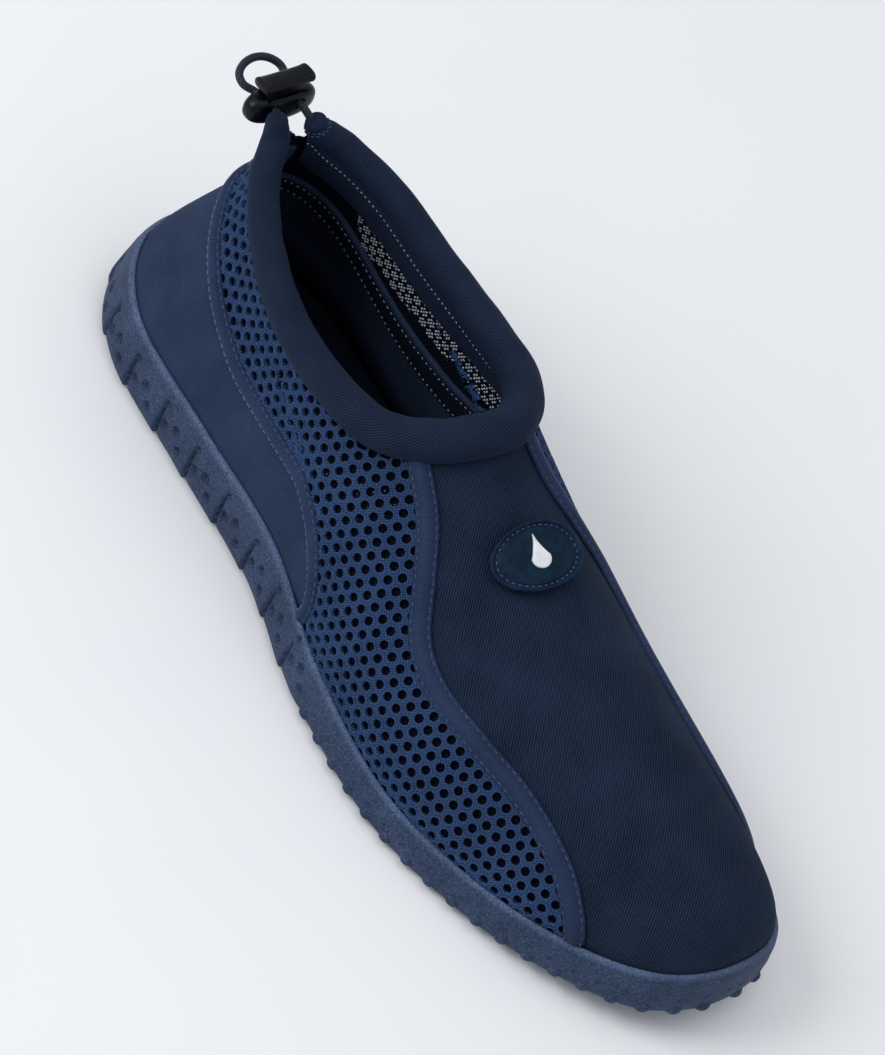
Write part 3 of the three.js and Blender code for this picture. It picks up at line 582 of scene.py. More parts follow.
# Drawn steel wire of the lock's spring: bright, with faint lines along it.
def springSteel():
    material, tree, surface = startMaterial("drawn_steel_wire", 0.3, Metallic=1.0)
    streak = noise(tree, objectPlace(tree), 0.4, 2)
    tree.links.new(colours(tree, streak, (0.3, "#8d939b"), (0.7, "#c4c8ce")), surface.inputs["Base Color"])
    bump(tree, surface, streak, 0.01)
    return material


materials["spring"] = springSteel()
print("materials made")


# Drawcord: elastic cord through the collar, out at its ends, through the lock and round in a loop.
cordRoute = {
    "radius": 1.2,
    "partedBy": 0.006,  # gap between its ends, at the front of the throat
    "free": [
        (22.4, -8.8, 81.6), (20.6, -7.4, 84.6), (18.4, -5.9, 87.2), (15.4, -5, 88.4), (11.6, -5, 87.6),
        (7.6, -5, 86.7), (4.6, -5.4, 86.1), (1.4, -7.6, 86.3), (-1.8, -7.3, 87), (-4, -4.6, 87.8),
        (-4.7, -0.8, 88.4), (-3.7, 3, 88.4), (-1.2, 5.9, 87.7), (1.7, 6.5, 86.8), (4.6, 4.4, 86.1),
        (7.6, 4, 86.7), (11.6, 4, 87.6), (15.4, 4, 88.4), (18.4, 4.9, 87.2), (20.8, 6.8, 85), (23.2, 10, 82.4),
    ],
    "steps": 460,
    "sides": 14,
}


# A tube along points, with a radius at each; ends closed flat.
def tubeGrid(centres, radii, sides):
    forward = unit(np.gradient(centres, axis=0))
    side = np.array([0.0, 0.0, 1.0])
    turns = np.linspace(0, 2 * np.pi, sides, endpoint=False)
    rings = []
    for centre, ahead, radius in zip(centres, forward, radii):
        side = unit(side - ahead * (side @ ahead))
        other = np.cross(ahead, side)
        rings.append(centre + radius * (np.outer(np.cos(turns), side) + np.outer(np.sin(turns), other)))
    return np.array(rings)


def tubeUv(centres, radii, sides):
    along = np.concatenate([[0], np.cumsum(np.linalg.norm(np.diff(centres, axis=0), axis=1))])
    around = np.linspace(0, 2 * np.pi * float(np.max(radii)), sides + 1)
    return np.stack(np.meshgrid(along, around, indexing="ij"), -1)


def makeDrawcord():
    first = catmull(form["collar"], np.linspace(0.5 - cordRoute["partedBy"], 0.14, 14))
    back = catmull(form["collar"], np.linspace(0.86, 0.5 + cordRoute["partedBy"], 14))
    route = np.vstack([first, cordRoute["free"], back])
    centres = catmull(route, np.linspace(0, 1, cordRoute["steps"]))
    radii = np.full(len(centres), cordRoute["radius"])
    grid = tubeGrid(centres, radii, cordRoute["sides"])
    cord = gridMesh("drawcord_braid", grid, tubeUv(centres, radii, cordRoute["sides"]), wrapColumns=True, fill="se")
    finishPiece(cord, None, "elastic_cord", materials["cord"], "drawcord")
    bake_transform(cord)


makeDrawcord()


# Outsole: a rubber cup with grooved blocks round the heel and studs round the forefoot.
sole = {
    "columns": 1400,
    "wallRows": 46,
    "wall": [(0.0, 1.2), (0.06, 2.3), (0.15, 3.1), (0.28, 3.5), (0.5, 3.4), (0.8, 2.7), (0.93, 2.1), (1.0, 1.6)],
    "cupClear": 0.7,
    "blockPitch": 16.6,
    "blockBulge": 1.1,
    "grooveDepth": 2.3,
    "grooveWidth": 0.5,
    "grooveTop": 0.7,  # share of the wall's height that the grooves reach
    "blocksTo": 0.262,  # place round the shoe where blocks give way to studs
    "studPitch": 8.5,
    "studRadius": 1.9,
    "studHeight": 1.3,
    "dimplePitch": 7.3,
    "treadDeep": 1.2,
    # of each block: share of its length, height and radius in mm
    "dimples": [(0.16, 8.4, 1.6), (0.46, 10.6, 1.65), (0.66, 6.6, 1.45), (0.06, 14.4, 1.1)],
    "dimpleDepth": 1.9,
}


def rimRing(places, out, heightAt):
    rim = rimAt(places)
    point = rim + shellFrame(places, np.full(len(places), -0.05))[2] * np.reshape(out, (-1, 1))
    point[:, 2] = heightAt(rim)
    return point


def bowl(along, up, radius):
    return np.sqrt(np.maximum(0, 1 - (along**2 + up**2) / radius**2))


def wallRelief(places, share, wallHigh):
    side = np.where(places <= 0.5, places, 1 - places)
    along = side * 2 * np.where(places <= 0.5, toeLength, rimLengths[-1] - toeLength)
    up = share * wallHigh
    # blocks: each swells and steps in to the next groove
    lean = -(up - 6) * 0.14
    unitPlace = (along + sole["blockPitch"] / 2 - lean) / sole["blockPitch"]
    u = unitPlace - np.floor(unitPlace)
    toGroove = np.minimum(u, 1 - u) * sole["blockPitch"]
    low = 1 / (1 + np.exp((share - sole["grooveTop"]) / 0.05))
    # each block grows towards the toe end of its length, then drops into the next groove
    swell = sole["blockBulge"] * (0.25 + 0.75 * u**1.5) * np.minimum(1, (1 - u) / 0.04)
    swell = swell * np.exp(-((share - 0.15) / 0.3) ** 2)
    groove = -sole["grooveDepth"] * np.exp(-((toGroove / sole["grooveWidth"]) ** 2)) * low
    dimples = np.zeros_like(up)
    for at, high, radius in sole["dimples"]:
        dimples -= sole["dimpleDepth"] * bowl((u - at) * sole["blockPitch"], up - high, radius)
    heel = swell + groove + dimples
    # studs along the bottom edge, and shallow marks above them
    v = np.mod(along, sole["studPitch"]) - sole["studPitch"] / 2
    studs = sole["studHeight"] * bowl(v, up - 3.0, sole["studRadius"])
    w = np.mod(along, sole["dimplePitch"]) - sole["dimplePitch"] / 2
    marks = -0.55 * np.sqrt(np.maximum(0, 1 - (w / 1.5) ** 2 - ((up - wallHigh * 0.52) / 0.9) ** 2))
    front = studs + marks
    change = 1 / (1 + np.exp((side - sole["blocksTo"]) / 0.0015))
    return heel * change + front * (1 - change)


def makeOutsole():
    places = np.arange(sole["columns"]) / sole["columns"]
    shares, outs = np.array(sole["wall"]).T
    rows = []
    rim = rimAt(places)
    ground = groundLift(rim[:, 0])
    wallHigh = rim[:, 2] - ground
    deep = sole["treadDeep"] / np.mean(wallHigh)
    rows.append(rimRing(places, -1.0, lambda r: groundLift(r[:, 0]) + sole["treadDeep"]))
    for share in np.linspace(deep, 1, sole["wallRows"]):
        out = np.interp(share, shares, outs) + wallRelief(places, np.full(len(places), share), wallHigh)
        rows.append(rimRing(places, out, lambda r, s=share: groundLift(r[:, 0]) + s * (r[:, 2] - groundLift(r[:, 0]))))
    for out, up in ((1.25, 0.45), (0.6, 0.6), (0.1, 0.45), (0.15, -0.2), (sole["cupClear"], -1.2)):
        rows.append(rimRing(places, out, lambda r, u=up: r[:, 2] + u))
    rows.append(rimRing(places, sole["cupClear"], lambda r: cupFloor(r[:, 0])))
    outsole = gridMesh("outsole_cup", np.array(rows), wrapColumns=True, fill="se")
    # painted highlight mask: rising from the upper wall to the top of the lip, where the sole faces the light
    paintedLipHighlight = np.zeros((len(rows), len(places)))
    paintedLipHighlight[-10:-2] = np.linspace(0.1, 1, 8)[:, None]
    outsole.data.attributes.new("paintedLipHighlight", "FLOAT", "POINT").data.foreach_set("value", paintedLipHighlight.ravel())
    finishPiece(outsole, "shoe", "sole_rubber", materials["sole"], "outsole")
    return outsole


outsole = makeOutsole()
print("outsole made,", len(outsole.data.polygons), "faces")


# Insole.
insole = {
    "lift": 5.9,  # of its top above the cup's floor, over the board and the foam
    # distance in from the rim, and height, in mm
    "edge": [(7.0, -0.8), (6.9, -0.3), (7.2, 0.0), (9.0, 0.1), (14.0, -0.15)],
}


def makeInsole():
    places = np.arange(240) / 240
    rings = [rimRing(places, -inset, lambda r, d=dip: cupFloor(r[:, 0]) + insole["lift"] + d) for inset, dip in insole["edge"]]
    obj = gridMesh("insole_lining", np.array(rings), None, wrapColumns=True, fill="se")
    layer = obj.data.uv_layers.new(name="UVMap")
    flat = np.array([obj.data.vertices[loop.vertex_index].co[:2] for loop in obj.data.loops])
    layer.data.foreach_set("uv", flat.ravel())
    finishPiece(obj, "shoe", "insole_sock", materials["foamSock"], "insole_sock")


# Gives a piece of the bare frame that stays in use its material.
def dressNode(node, key):
    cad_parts[node].data.materials.clear()
    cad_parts[node].data.materials.append(materials[key])


makeInsole()
dressNode("insole_foam", "foamSock")
dressNode("lasting_board", "lining")
print("insole made")

# The upper's panels.
upper = {
    "underSeam": 2.6,  # how far each panel runs on under its binding
    "seamSink": 0.55,  # how far the stitching pulls the panels' edges in
    "seamSinkWidth": 5.0,
    "rowsUp": 70,
    "vampColumns": 110,
}
seamTop = float(topHeight(0.376)[0])
frontFull = sampleSeam(form["frontSeam"], 90)
frontFull = frontFull[frontFull[:, 1] < seamTop + 0.02]
heelRise = sampleSeam(form["heelSeamRise"], 24)
heelTop = sampleSeam(form["heelSeamTop"], 90)


def frontEdge(shift, rows):
    above = evenSeam(shiftSeam(frontFull, shift), rows)
    above[0, 1] = 0
    cup = above[:1].copy()
    cup[0, 1] = -form["cupDepthShare"]
    return np.vstack([cup, above])


# A one-sided sheet over a patch of the shell, pulled in near the edges named in sunk.
def shellPatch(name, patch, sunk="", out=0.0, flip=False):
    grid = shellPoint(patch[..., 0], patch[..., 1])
    across, up = gridLengths(grid)
    toEdge = np.full(grid.shape[:2], 1e3)
    away = {"l": across, "r": across[-1:] - across, "t": up[:, -1:] - up}
    for edge in sunk:
        toEdge = np.minimum(toEdge, away[edge])
    inwards = np.maximum(toEdge - upper["underSeam"], 0) / upper["seamSinkWidth"]
    sink = -upper["seamSink"] * np.exp(-(inwards**2)) if sunk else np.zeros(grid.shape[:2])
    grid = grid + shellFrame(patch[..., 0], patch[..., 1])[2] * (sink + out)[..., None]
    return gridMesh(name, grid, np.zeros((*grid.shape[:2], 2)), flip=flip)


def makeVamp():
    left = frontEdge(-form["gap"] / 2 + upper["underSeam"] * 0.2, upper["rowsUp"])
    right = mirrored(left)
    shares = np.concatenate([[0], 0.09 + 0.91 * np.linspace(0, 1, upper["rowsUp"] + 1)])
    bottom = line(left[0], right[0], upper["vampColumns"])
    top = line(left[-1], right[-1], upper["vampColumns"])
    top[:, 1] = topHeight(top[:, 0]) + 0.012
    left[-1], right[-1] = top[0], top[-1]
    obj = shellPatch("vamp_shell", patchBetween(bottom, top, left, right, shares), "lr")
    flatPattern(obj)
    thicken(obj, form["upperThick"])
    return finishPiece(obj, "shoe", "vamp_twill", materials["vampTwill"], "vamp")


def makeHeelPanel():
    seam = evenSeam(shiftSeam(heelTop, -0.4), 70)
    rise = evenSeam(shiftSeam(heelRise, -0.4), 40)
    rise[0, 1] = 0
    seam[0] = rise[-1]
    seam[-1, 0] = 0
    rise = np.vstack([[rise[0, 0], -form["cupDepthShare"]], rise])
    other = seam[::-1] * (-1, 1)
    top = np.vstack([seam, other[1:]])[::-1]
    left = rise * (-1, 1)
    bottom = line(left[0], rise[0], len(top) - 1)
    shares = np.concatenate([[0], 0.2 + 0.8 * np.linspace(0, 1, 41)])
    obj = shellPatch("heel_shell", patchBetween(bottom, top, left, rise, shares), "lrt")
    flatPattern(obj)
    thicken(obj, form["upperThick"])
    return finishPiece(obj, "shoe", "neoprene_jersey", materials["heelJersey"], "heel_panel")


makeVamp()
makeHeelPanel()
print("vamp and heel panel made")


# Geometry Nodes trees.
def newTree(name, *inputs):
    tree = bpy.data.node_groups.new(name, "GeometryNodeTree")
    tree.interface.new_socket("Geometry", in_out="INPUT", socket_type="NodeSocketGeometry")
    for socketName, kind in inputs:
        tree.interface.new_socket(socketName, in_out="INPUT", socket_type="NodeSocket" + kind)
    tree.interface.new_socket("Geometry", in_out="OUTPUT", socket_type="NodeSocketGeometry")
    return tree, tree.nodes.new("NodeGroupInput").outputs


# Ends a tree: instances made real, smoothed, given their material.
def endTree(tree, geometry, material):
    real = addNode(tree, "GeometryNodeRealizeInstances", {0: geometry}).outputs[0]
    smooth = addNode(tree, "GeometryNodeSetShadeSmooth", {"Geometry": real}).outputs[0]
    done = addNode(tree, "GeometryNodeSetMaterial", {"Geometry": smooth, "Material": material})
    addNode(tree, "NodeGroupOutput", {0: done.outputs[0]})
    return tree


def namedVector(tree, name):
    return addNode(tree, "GeometryNodeInputNamedAttribute", {"Name": name}, data_type="FLOAT_VECTOR").outputs[0]


# Runs a tree on an object and leaves the result as its plain mesh.
def runTree(obj, tree, **values):
    modifier = obj.modifiers.new(tree.name, "NODES")
    modifier.node_group = tree
    sockets = {item.name: item.identifier for item in tree.interface.items_tree if item.in_out == "INPUT"}
    for key, value in values.items():
        modifier[sockets[key]] = value
    obj.update_tag()
    return applied(obj)


# One stitch per step along each line of the input, lying along it and standing off its "outward" attribute.
def stitchTree():
    tree, given = newTree(
        "stitches", ("Spacing", "Float"), ("Length", "Float"), ("Width", "Float"), ("Height", "Float"),
        ("Material", "Material"),
    )
    curve = addNode(tree, "GeometryNodeMeshToCurve", {0: given["Geometry"]}).outputs[0]
    even = addNode(tree, "GeometryNodeResampleCurve", {"Curve": curve, "Length": given["Spacing"]}, mode="LENGTH").outputs[0]
    tangent = addNode(tree, "GeometryNodeInputTangent").outputs[0]
    turned = addNode(
        tree, "FunctionNodeAxesToRotation", {0: tangent, 1: namedVector(tree, "outward")},
        primary_axis="X", secondary_axis="Z",
    ).outputs[0]
    bead = addNode(tree, "GeometryNodeMeshUVSphere", {"Segments": 8, "Rings": 6, "Radius": 0.5}).outputs[0]
    size = addNode(tree, "ShaderNodeCombineXYZ", {0: given["Length"], 1: given["Width"], 2: given["Height"]}).outputs[0]
    stitches = addNode(
        tree, "GeometryNodeInstanceOnPoints", {"Points": even, "Instance": bead, "Rotation": turned, "Scale": size},
    ).outputs[0]
    return endTree(tree, stitches, given["Material"])


# A net of six-sided cells laid out on the input sheet's flat pattern, then put back on the sheet.
def netTree():
    tree, given = newTree(
        "air_mesh_net", ("Cell", "Object"), ("Pitch", "Float"), ("Columns", "Int"), ("Rows", "Int"),
        ("Centre", "Vector"), ("Material", "Material"),
    )
    rise = mathNode(tree, "MULTIPLY", given["Pitch"], math.sqrt(3) / 2)
    wide = mathNode(tree, "MULTIPLY", given["Pitch"], given["Columns"])
    high = mathNode(tree, "MULTIPLY", rise, given["Rows"])
    grid = addNode(tree, "GeometryNodeMeshGrid", {
        "Size X": wide, "Size Y": high,
        "Vertices X": mathNode(tree, "ADD", given["Columns"], 1), "Vertices Y": mathNode(tree, "ADD", given["Rows"], 1),
    }).outputs[0]
    place = addNode(tree, "GeometryNodeInputPosition").outputs[0]
    upward = addNode(tree, "ShaderNodeSeparateXYZ", {0: place}).outputs["Y"]
    row = mathNode(tree, "ROUND", mathNode(tree, "DIVIDE", upward, rise))
    odd = mathNode(tree, "FLOORED_MODULO", row, 2)
    aside = mathNode(tree, "MULTIPLY", odd, mathNode(tree, "MULTIPLY", given["Pitch"], 0.5))
    shift = addNode(tree, "ShaderNodeVectorMath", {
        0: addNode(tree, "ShaderNodeCombineXYZ", {0: aside}).outputs[0], 1: given["Centre"],
    }, operation="ADD").outputs[0]
    staggered = addNode(tree, "GeometryNodeSetPosition", {"Geometry": grid, "Offset": shift}).outputs[0]
    cell = addNode(tree, "GeometryNodeObjectInfo", {"Object": given["Cell"]}).outputs["Geometry"]

    def sample(what):
        return addNode(tree, "GeometryNodeSampleUVSurface", {
            "Mesh": given["Geometry"], "Value": what, "UV Map": namedVector(tree, "UVMap"),
            "Sample UV": addNode(tree, "GeometryNodeInputPosition").outputs[0],
        }, data_type="FLOAT_VECTOR").outputs

    def outside():
        valid = sample(addNode(tree, "GeometryNodeInputPosition").outputs[0])["Is Valid"]
        return addNode(tree, "FunctionNodeBooleanMath", {0: valid}, operation="NOT").outputs[0]

    kept = addNode(tree, "GeometryNodeDeleteGeometry", {"Geometry": staggered, "Selection": outside()}).outputs[0]
    cells = addNode(tree, "GeometryNodeInstanceOnPoints", {"Points": kept, "Instance": cell}).outputs[0]
    real = addNode(tree, "GeometryNodeRealizeInstances", {0: cells}).outputs[0]
    joined = addNode(tree, "GeometryNodeMergeByDistance", {"Geometry": real, "Distance": 0.00003}).outputs[0]
    trimmed = addNode(tree, "GeometryNodeDeleteGeometry", {"Geometry": joined, "Selection": outside()}).outputs[0]
    mapped = addNode(tree, "GeometryNodeStoreNamedAttribute", {
        "Geometry": trimmed, "Name": "UVMap", "Value": addNode(tree, "GeometryNodeInputPosition").outputs[0],
    }, data_type="FLOAT2", domain="CORNER").outputs[0]
    onSheet = sample(addNode(tree, "GeometryNodeInputPosition").outputs[0])["Value"]
    outward = sample(addNode(tree, "GeometryNodeInputNormal").outputs[0])["Value"]
    height = addNode(tree, "ShaderNodeSeparateXYZ", {0: addNode(tree, "GeometryNodeInputPosition").outputs[0]}).outputs["Z"]
    lift = addNode(tree, "ShaderNodeVectorMath", {0: outward, "Scale": height}, operation="SCALE").outputs[0]
    target = addNode(tree, "ShaderNodeVectorMath", {0: onSheet, 1: lift}, operation="ADD").outputs[0]
    placed = addNode(tree, "GeometryNodeSetPosition", {"Geometry": mapped, "Position": target}).outputs[0]
    return endTree(tree, placed, given["Material"])


# Lugs in staggered rows under the input plate, standing down from it.
def lugTree():
    tree, given = newTree(
        "sole_lugs", ("Lug", "Object"), ("Pitch", "Float"), ("Columns", "Int"), ("Rows", "Int"), ("Material", "Material"),
    )
    grid = addNode(tree, "GeometryNodeMeshGrid", {
        "Size X": mathNode(tree, "MULTIPLY", given["Pitch"], given["Columns"]),
        "Size Y": mathNode(tree, "MULTIPLY", given["Pitch"], given["Rows"]),
        "Vertices X": mathNode(tree, "ADD", given["Columns"], 1), "Vertices Y": mathNode(tree, "ADD", given["Rows"], 1),
    }).outputs[0]
    place = addNode(tree, "GeometryNodeInputPosition").outputs[0]
    upward = addNode(tree, "ShaderNodeSeparateXYZ", {0: place}).outputs["Y"]
    row = mathNode(tree, "ROUND", mathNode(tree, "DIVIDE", upward, given["Pitch"]))
    odd = mathNode(tree, "FLOORED_MODULO", row, 2)
    aside = mathNode(tree, "MULTIPLY", odd, mathNode(tree, "MULTIPLY", given["Pitch"], 0.5))
    low = addNode(tree, "ShaderNodeCombineXYZ", {0: aside, 2: -0.05}).outputs[0]
    staggered = addNode(tree, "GeometryNodeSetPosition", {"Geometry": grid, "Offset": low}).outputs[0]
    hit = addNode(tree, "GeometryNodeRaycast", {
        "Target Geometry": given["Geometry"], "Ray Direction": (0, 0, 1), "Ray Length": 0.2,
    }).outputs
    missed = addNode(tree, "FunctionNodeBooleanMath", {0: hit["Is Hit"]}, operation="NOT").outputs[0]
    kept = addNode(tree, "GeometryNodeDeleteGeometry", {"Geometry": staggered, "Selection": missed}).outputs[0]
    under = addNode(tree, "GeometryNodeStoreNamedAttribute", {
        "Geometry": kept, "Name": "outward", "Value": hit["Hit Normal"],
    }, data_type="FLOAT_VECTOR").outputs[0]
    placed = addNode(tree, "GeometryNodeSetPosition", {"Geometry": under, "Position": hit["Hit Position"]}).outputs[0]
    outward = namedVector(tree, "outward")
    turned = addNode(tree, "FunctionNodeAlignRotationToVector", {"Vector": outward}, axis="Z").outputs[0]
    lug = addNode(tree, "GeometryNodeObjectInfo", {"Object": given["Lug"]}).outputs["Geometry"]
    lugs = addNode(
        tree, "GeometryNodeInstanceOnPoints", {"Points": placed, "Instance": lug, "Rotation": turned},
    ).outputs[0]
    return endTree(tree, lugs, given["Material"])


trees = {"stitches": stitchTree(), "net": netTree(), "lugs": lugTree()}
print("node trees made")

# Bindings and tapes: woven ribbons sewn over the seams.
ribbon = {
    "frontWidth": 6.5,
    "heelWidth": 5.2,
    "steps": 200,
    # place across from -1 to 1, and how far the face stands off the panels in mm
    "face": [
        (-0.96, 0.6), (-0.88, 0.85), (-0.74, 0.6), (-0.6, 1.2), (-0.3, 1.75), (0, 1.95),
        (0.3, 1.75), (0.6, 1.2), (0.74, 0.6), (0.88, 0.85), (0.96, 0.6),
    ],
    "stitchAt": 0.74,
    "backWidth": 8.0,  # of the tape up the back
    "insideWidth": 9.0,  # of the tapes inside
    "insideShift": 5.0,  # of the tape inside from the heel seam, so that it covers the net's edge
    "flatFace": [(-0.95, 0.5), (-0.8, 0.7), (0, 0.75), (0.8, 0.7), (0.95, 0.5)],
}

# The heel seam runs on from its rise into its top in one round bend
heelSeam = sampleSeam([
    (0.233, 0), (0.237, 0.15), (0.24, 0.3), (0.2385, 0.42), (0.231, 0.495), (0.217, 0.508), (0.19, 0.465),
    (0.15, 0.445), (0.12, 0.49), (0.08, 0.585), (0.04, 0.64), (0, 0.66),
], 220)


def ribbonPiece(name, seam, width, base=0.0, way=1.0, material="ribbon", slotName="binding_ribbon", nodes=(), face=None):
    face = face or ribbon["face"]
    tips = [(-1, 0.1)], [(1, 0.1)]
    under = [(across, -0.35) for across, _ in face[::-1]]
    loop = tips[0] + list(face) + tips[1] + under
    columns = [
        shellOffset(*shiftSeam(seam, across * width / 2).T, np.full(len(seam), base + way * lift)) for across, lift in loop
    ]
    grid = np.stack(columns, 1)
    along = np.concatenate([[0], np.cumsum(np.linalg.norm(np.diff(grid[:, 0], axis=0), axis=1))])
    across = np.append([a * width / 2 for a, _ in loop], -width / 2)
    uv = np.stack(np.meshgrid(along, across, indexing="ij"), -1)
    obj = gridMesh(name, grid, uv, wrapColumns=True, fill="se", flip=way < 0)
    return finishPiece(obj, "shoe", slotName, materials[material], *nodes)


# Stitch lines: each a run of points with the way out from the surface at each.
def stitchRows(name, rows, material, slotName, spacing=2.7, length=2.0, width=0.55, height=0.5):
    points = np.vstack([toRow(p) for p, _ in rows])
    outward = np.vstack([n for _, n in rows])
    edges, start = [], 0
    for p, _ in rows:
        edges += [(start + k, start + k + 1) for k in range(len(p) - 1)]
        start += len(p)
    mesh = bpy.data.meshes.new(name)
    mesh.from_pydata(points.tolist(), edges, [])
    mesh.attributes.new("outward", "FLOAT_VECTOR", "POINT").data.foreach_set("vector", outward.ravel())
    obj = addObject(name, mesh)
    runTree(
        obj, trees["stitches"], Spacing=spacing / 1000, Length=length / 1000, Width=width / 1000, Height=height / 1000,
        Material=materials[material],
    )
    return finishPiece(obj, "shoe", slotName, materials[material])


def seamRow(seam, distance, out):
    moved = shiftSeam(seam, distance)
    normal = shellFrame(moved[:, 0], moved[:, 1])[2]
    return shellPoint(moved[:, 0], moved[:, 1]) + normal * out, normal if out > 0 else -normal


frontRun = evenSeam(frontFull[(frontFull[:, 1] > 0.012)], ribbon["steps"])
heelHalf = evenSeam(heelSeam[heelSeam[:, 1] > 0.012], ribbon["steps"])
heelRun = np.vstack([heelHalf, (heelHalf * (-1, 1))[-2::-1]])
ribbonPiece("front_binding_outer_ribbon", frontRun, ribbon["frontWidth"], nodes=["front_binding_outer"])
ribbonPiece("front_binding_inner_ribbon", mirrored(frontRun), ribbon["frontWidth"], nodes=["front_binding_inner"])
ribbonPiece("heel_binding_ribbon", heelRun, ribbon["heelWidth"], nodes=["heel_binding"])
inside = -form["upperThick"]
insideRun = shiftSeam(heelRun, ribbon["insideShift"])
ribbonPiece("heel_binding_inside", insideRun, ribbon["insideWidth"], inside, -1, "lining", face=ribbon["flatFace"])
backLine = line((0, 0.63), (0, 0.985), 40)
ribbonPiece("heel_back_tape", backLine, ribbon["backWidth"], 0.1)
ribbonPiece(
    "heel_seam_tape_inside", line((0, 0.34), (0, 0.97), 40), ribbon["insideWidth"], inside - 0.4, -1,
    nodes=["heel_seam_tape"], face=ribbon["flatFace"],
)
half = ribbon["stitchAt"] / 2
pale = [seamRow(heelRun, half * ribbon["heelWidth"], 0.75)]
dull = [seamRow(heelRun, -half * ribbon["heelWidth"], 0.7)]
for seam, way in ((frontRun, 1), (mirrored(frontRun), -1)):
    dull += [seamRow(seam, side * half * ribbon["frontWidth"], 0.7) for side in (-1, 1)]
dull += [seamRow(backLine, side * 2.9, 0.75) for side in (-1, 1)]
stitchRows("heel_binding_stitches", pale, "threadBlue", "binding_ribbon", 2.4, 2.1, 0.55, 0.7)
stitchRows("binding_stitches", dull, "threadNavy", "binding_ribbon", 2.5, 1.9, 0.6, 0.8)
rowsIn = [seamRow(insideRun, side * 3.2, inside - 0.75) for side in (-1, 1)]
stitchRows("heel_binding_inside_stitches", rowsIn, "threadLight", "binding_ribbon", 2.0, 0.9, 0.4, 0.35)
print("bindings and stitches made")

# Air mesh at the sides: a net of round holes over a dark backing.
airMesh = {
    "pitch": 4.1,  # from hole to hole, mm
    "holeRadius": 1.32,
    "deep": 1.35,  # of the holes, down to the backing
    "crown": 0.55,  # how far the yarn round each hole stands above the lines between cells
    "backPitch": 1.6,  # the close knit behind the net, with pinholes that let light through
    "backHole": 0.26,
    "backThick": 0.5,
    "rowsUp": 56,
    "underSeam": 1.0,
}


# A cell of the net from rings of (share of the way out to the border, hole radius, height), in mm.
def ringCell(name, pitch, sides, rings):
    corner = pitch / math.sqrt(3)
    grid = []
    for share, hole, height in rings:
        for k in range(sides):
            turn = 2 * math.pi * k / sides + math.pi / 6
            border = corner * (1 if sides == 6 or k % 2 == 0 else math.cos(math.pi / 6))
            r = border * share + hole * (1 - share)
            grid.append((r * math.cos(turn), r * math.sin(turn), height))
    faces = []
    for i in range(0, (len(rings) - 1) * sides, sides):
        faces += [[i + k, i + (k + 1) % sides, i + sides + (k + 1) % sides, i + sides + k] for k in range(sides)]
    mesh = bpy.data.meshes.new(name)
    mesh.from_pydata((np.array(grid) / 1000).tolist(), [], faces)
    return addObject(name, mesh)


deep, crown, hole = airMesh["deep"], airMesh["crown"], airMesh["holeRadius"]
netCell = ringCell("net_cell", airMesh["pitch"], 12, [
    (1, 0, deep), (0.5, hole, deep + crown), (0, hole, deep + 0.4 * crown), (0, hole * 1.25, 0),
])
backCell = ringCell("back_cell", airMesh["backPitch"], 6, [
    (1, 0, 0), (0, airMesh["backHole"], 0),
    (0, airMesh["backHole"], -airMesh["backThick"]), (1, 0, -airMesh["backThick"]),
])


def meshPatch():
    whole = evenSeam(heelSeam, 110)
    low = shiftSeam(whole, airMesh["underSeam"])[::-1]
    low = low[low[:, 0] > 0.0015]
    low = np.vstack([[0.0005, low[0, 1]], low])
    low[-1, 1] = -form["cupDepthShare"]
    front = frontEdge(-airMesh["underSeam"], airMesh["rowsUp"])
    bottom = np.vstack([low, line(low[-1], front[0], 60)[1:]])
    bottom = evenSeam(bottom, 170)
    turning = int(np.argmin(np.linalg.norm(bottom - low[-1], axis=1)))
    beyond = np.linspace(0.25, front[-1, 0], 171 - turning)[1:]
    places = np.concatenate([np.linspace(0.0005, 0.25, turning + 1), beyond])
    top = np.stack([places, topHeight(places) + 0.01], 1)
    shares = np.concatenate([[0], 0.09 + 0.91 * np.linspace(0, 1, airMesh["rowsUp"] + 1)])
    left = bottom[0] + (top[0] - bottom[0]) * shares[:, None]
    right = front.copy()
    right[-1] = top[-1]
    return patchBetween(bottom, top, left, right, shares)


def netOver(sheet, uv, name, cell, pitchMm, key, *nodes):
    net = addObject(name, sheet.data.copy())
    low, high = uv.min(0), uv.max(0)
    pitch = pitchMm / 1000
    columns, rows = int((high[0] - low[0]) / pitch) + 3, int((high[1] - low[1]) / pitch / 0.866) + 3
    rows += rows % 2
    centre = ((low[0] + high[0]) / 2, (low[1] + high[1]) / 2, 0)
    runTree(
        net, trees["net"], Cell=cell, Pitch=pitch, Columns=columns, Rows=rows, Centre=centre, Material=materials[key],
    )
    print(name, len(net.data.polygons), "faces")
    return finishPiece(net, "shoe", "air_mesh", materials[key], *nodes)


def makeAirMesh(side):
    patch = meshPatch()
    if side == "inner":
        patch = np.stack([1 - patch[..., 0], patch[..., 1]], -1)
    sheet = shellPatch(f"mesh_{side}_sheet", patch, "", out=-airMesh["deep"] - 0.05, flip=side == "inner")
    uv = flatPattern(sheet)
    netOver(sheet, uv, f"mesh_{side}_net", netCell, airMesh["pitch"], "meshYarn", f"mesh_panel_{side}")
    netOver(sheet, uv, f"mesh_{side}_backing", backCell, airMesh["backPitch"], "meshBack")
    bpy.data.objects.remove(sheet)


# Inside, just under the facing: clusters of seven pale beads, painted light standing for the specks of light that come
# through the net.
loops = {
    "pitch": 3.8,
    "wide": 13.0,  # of the strip
    "from": 0.1,
    "to": 0.385,
    "speckRadius": 0.44,
    "apart": 1.15,
}


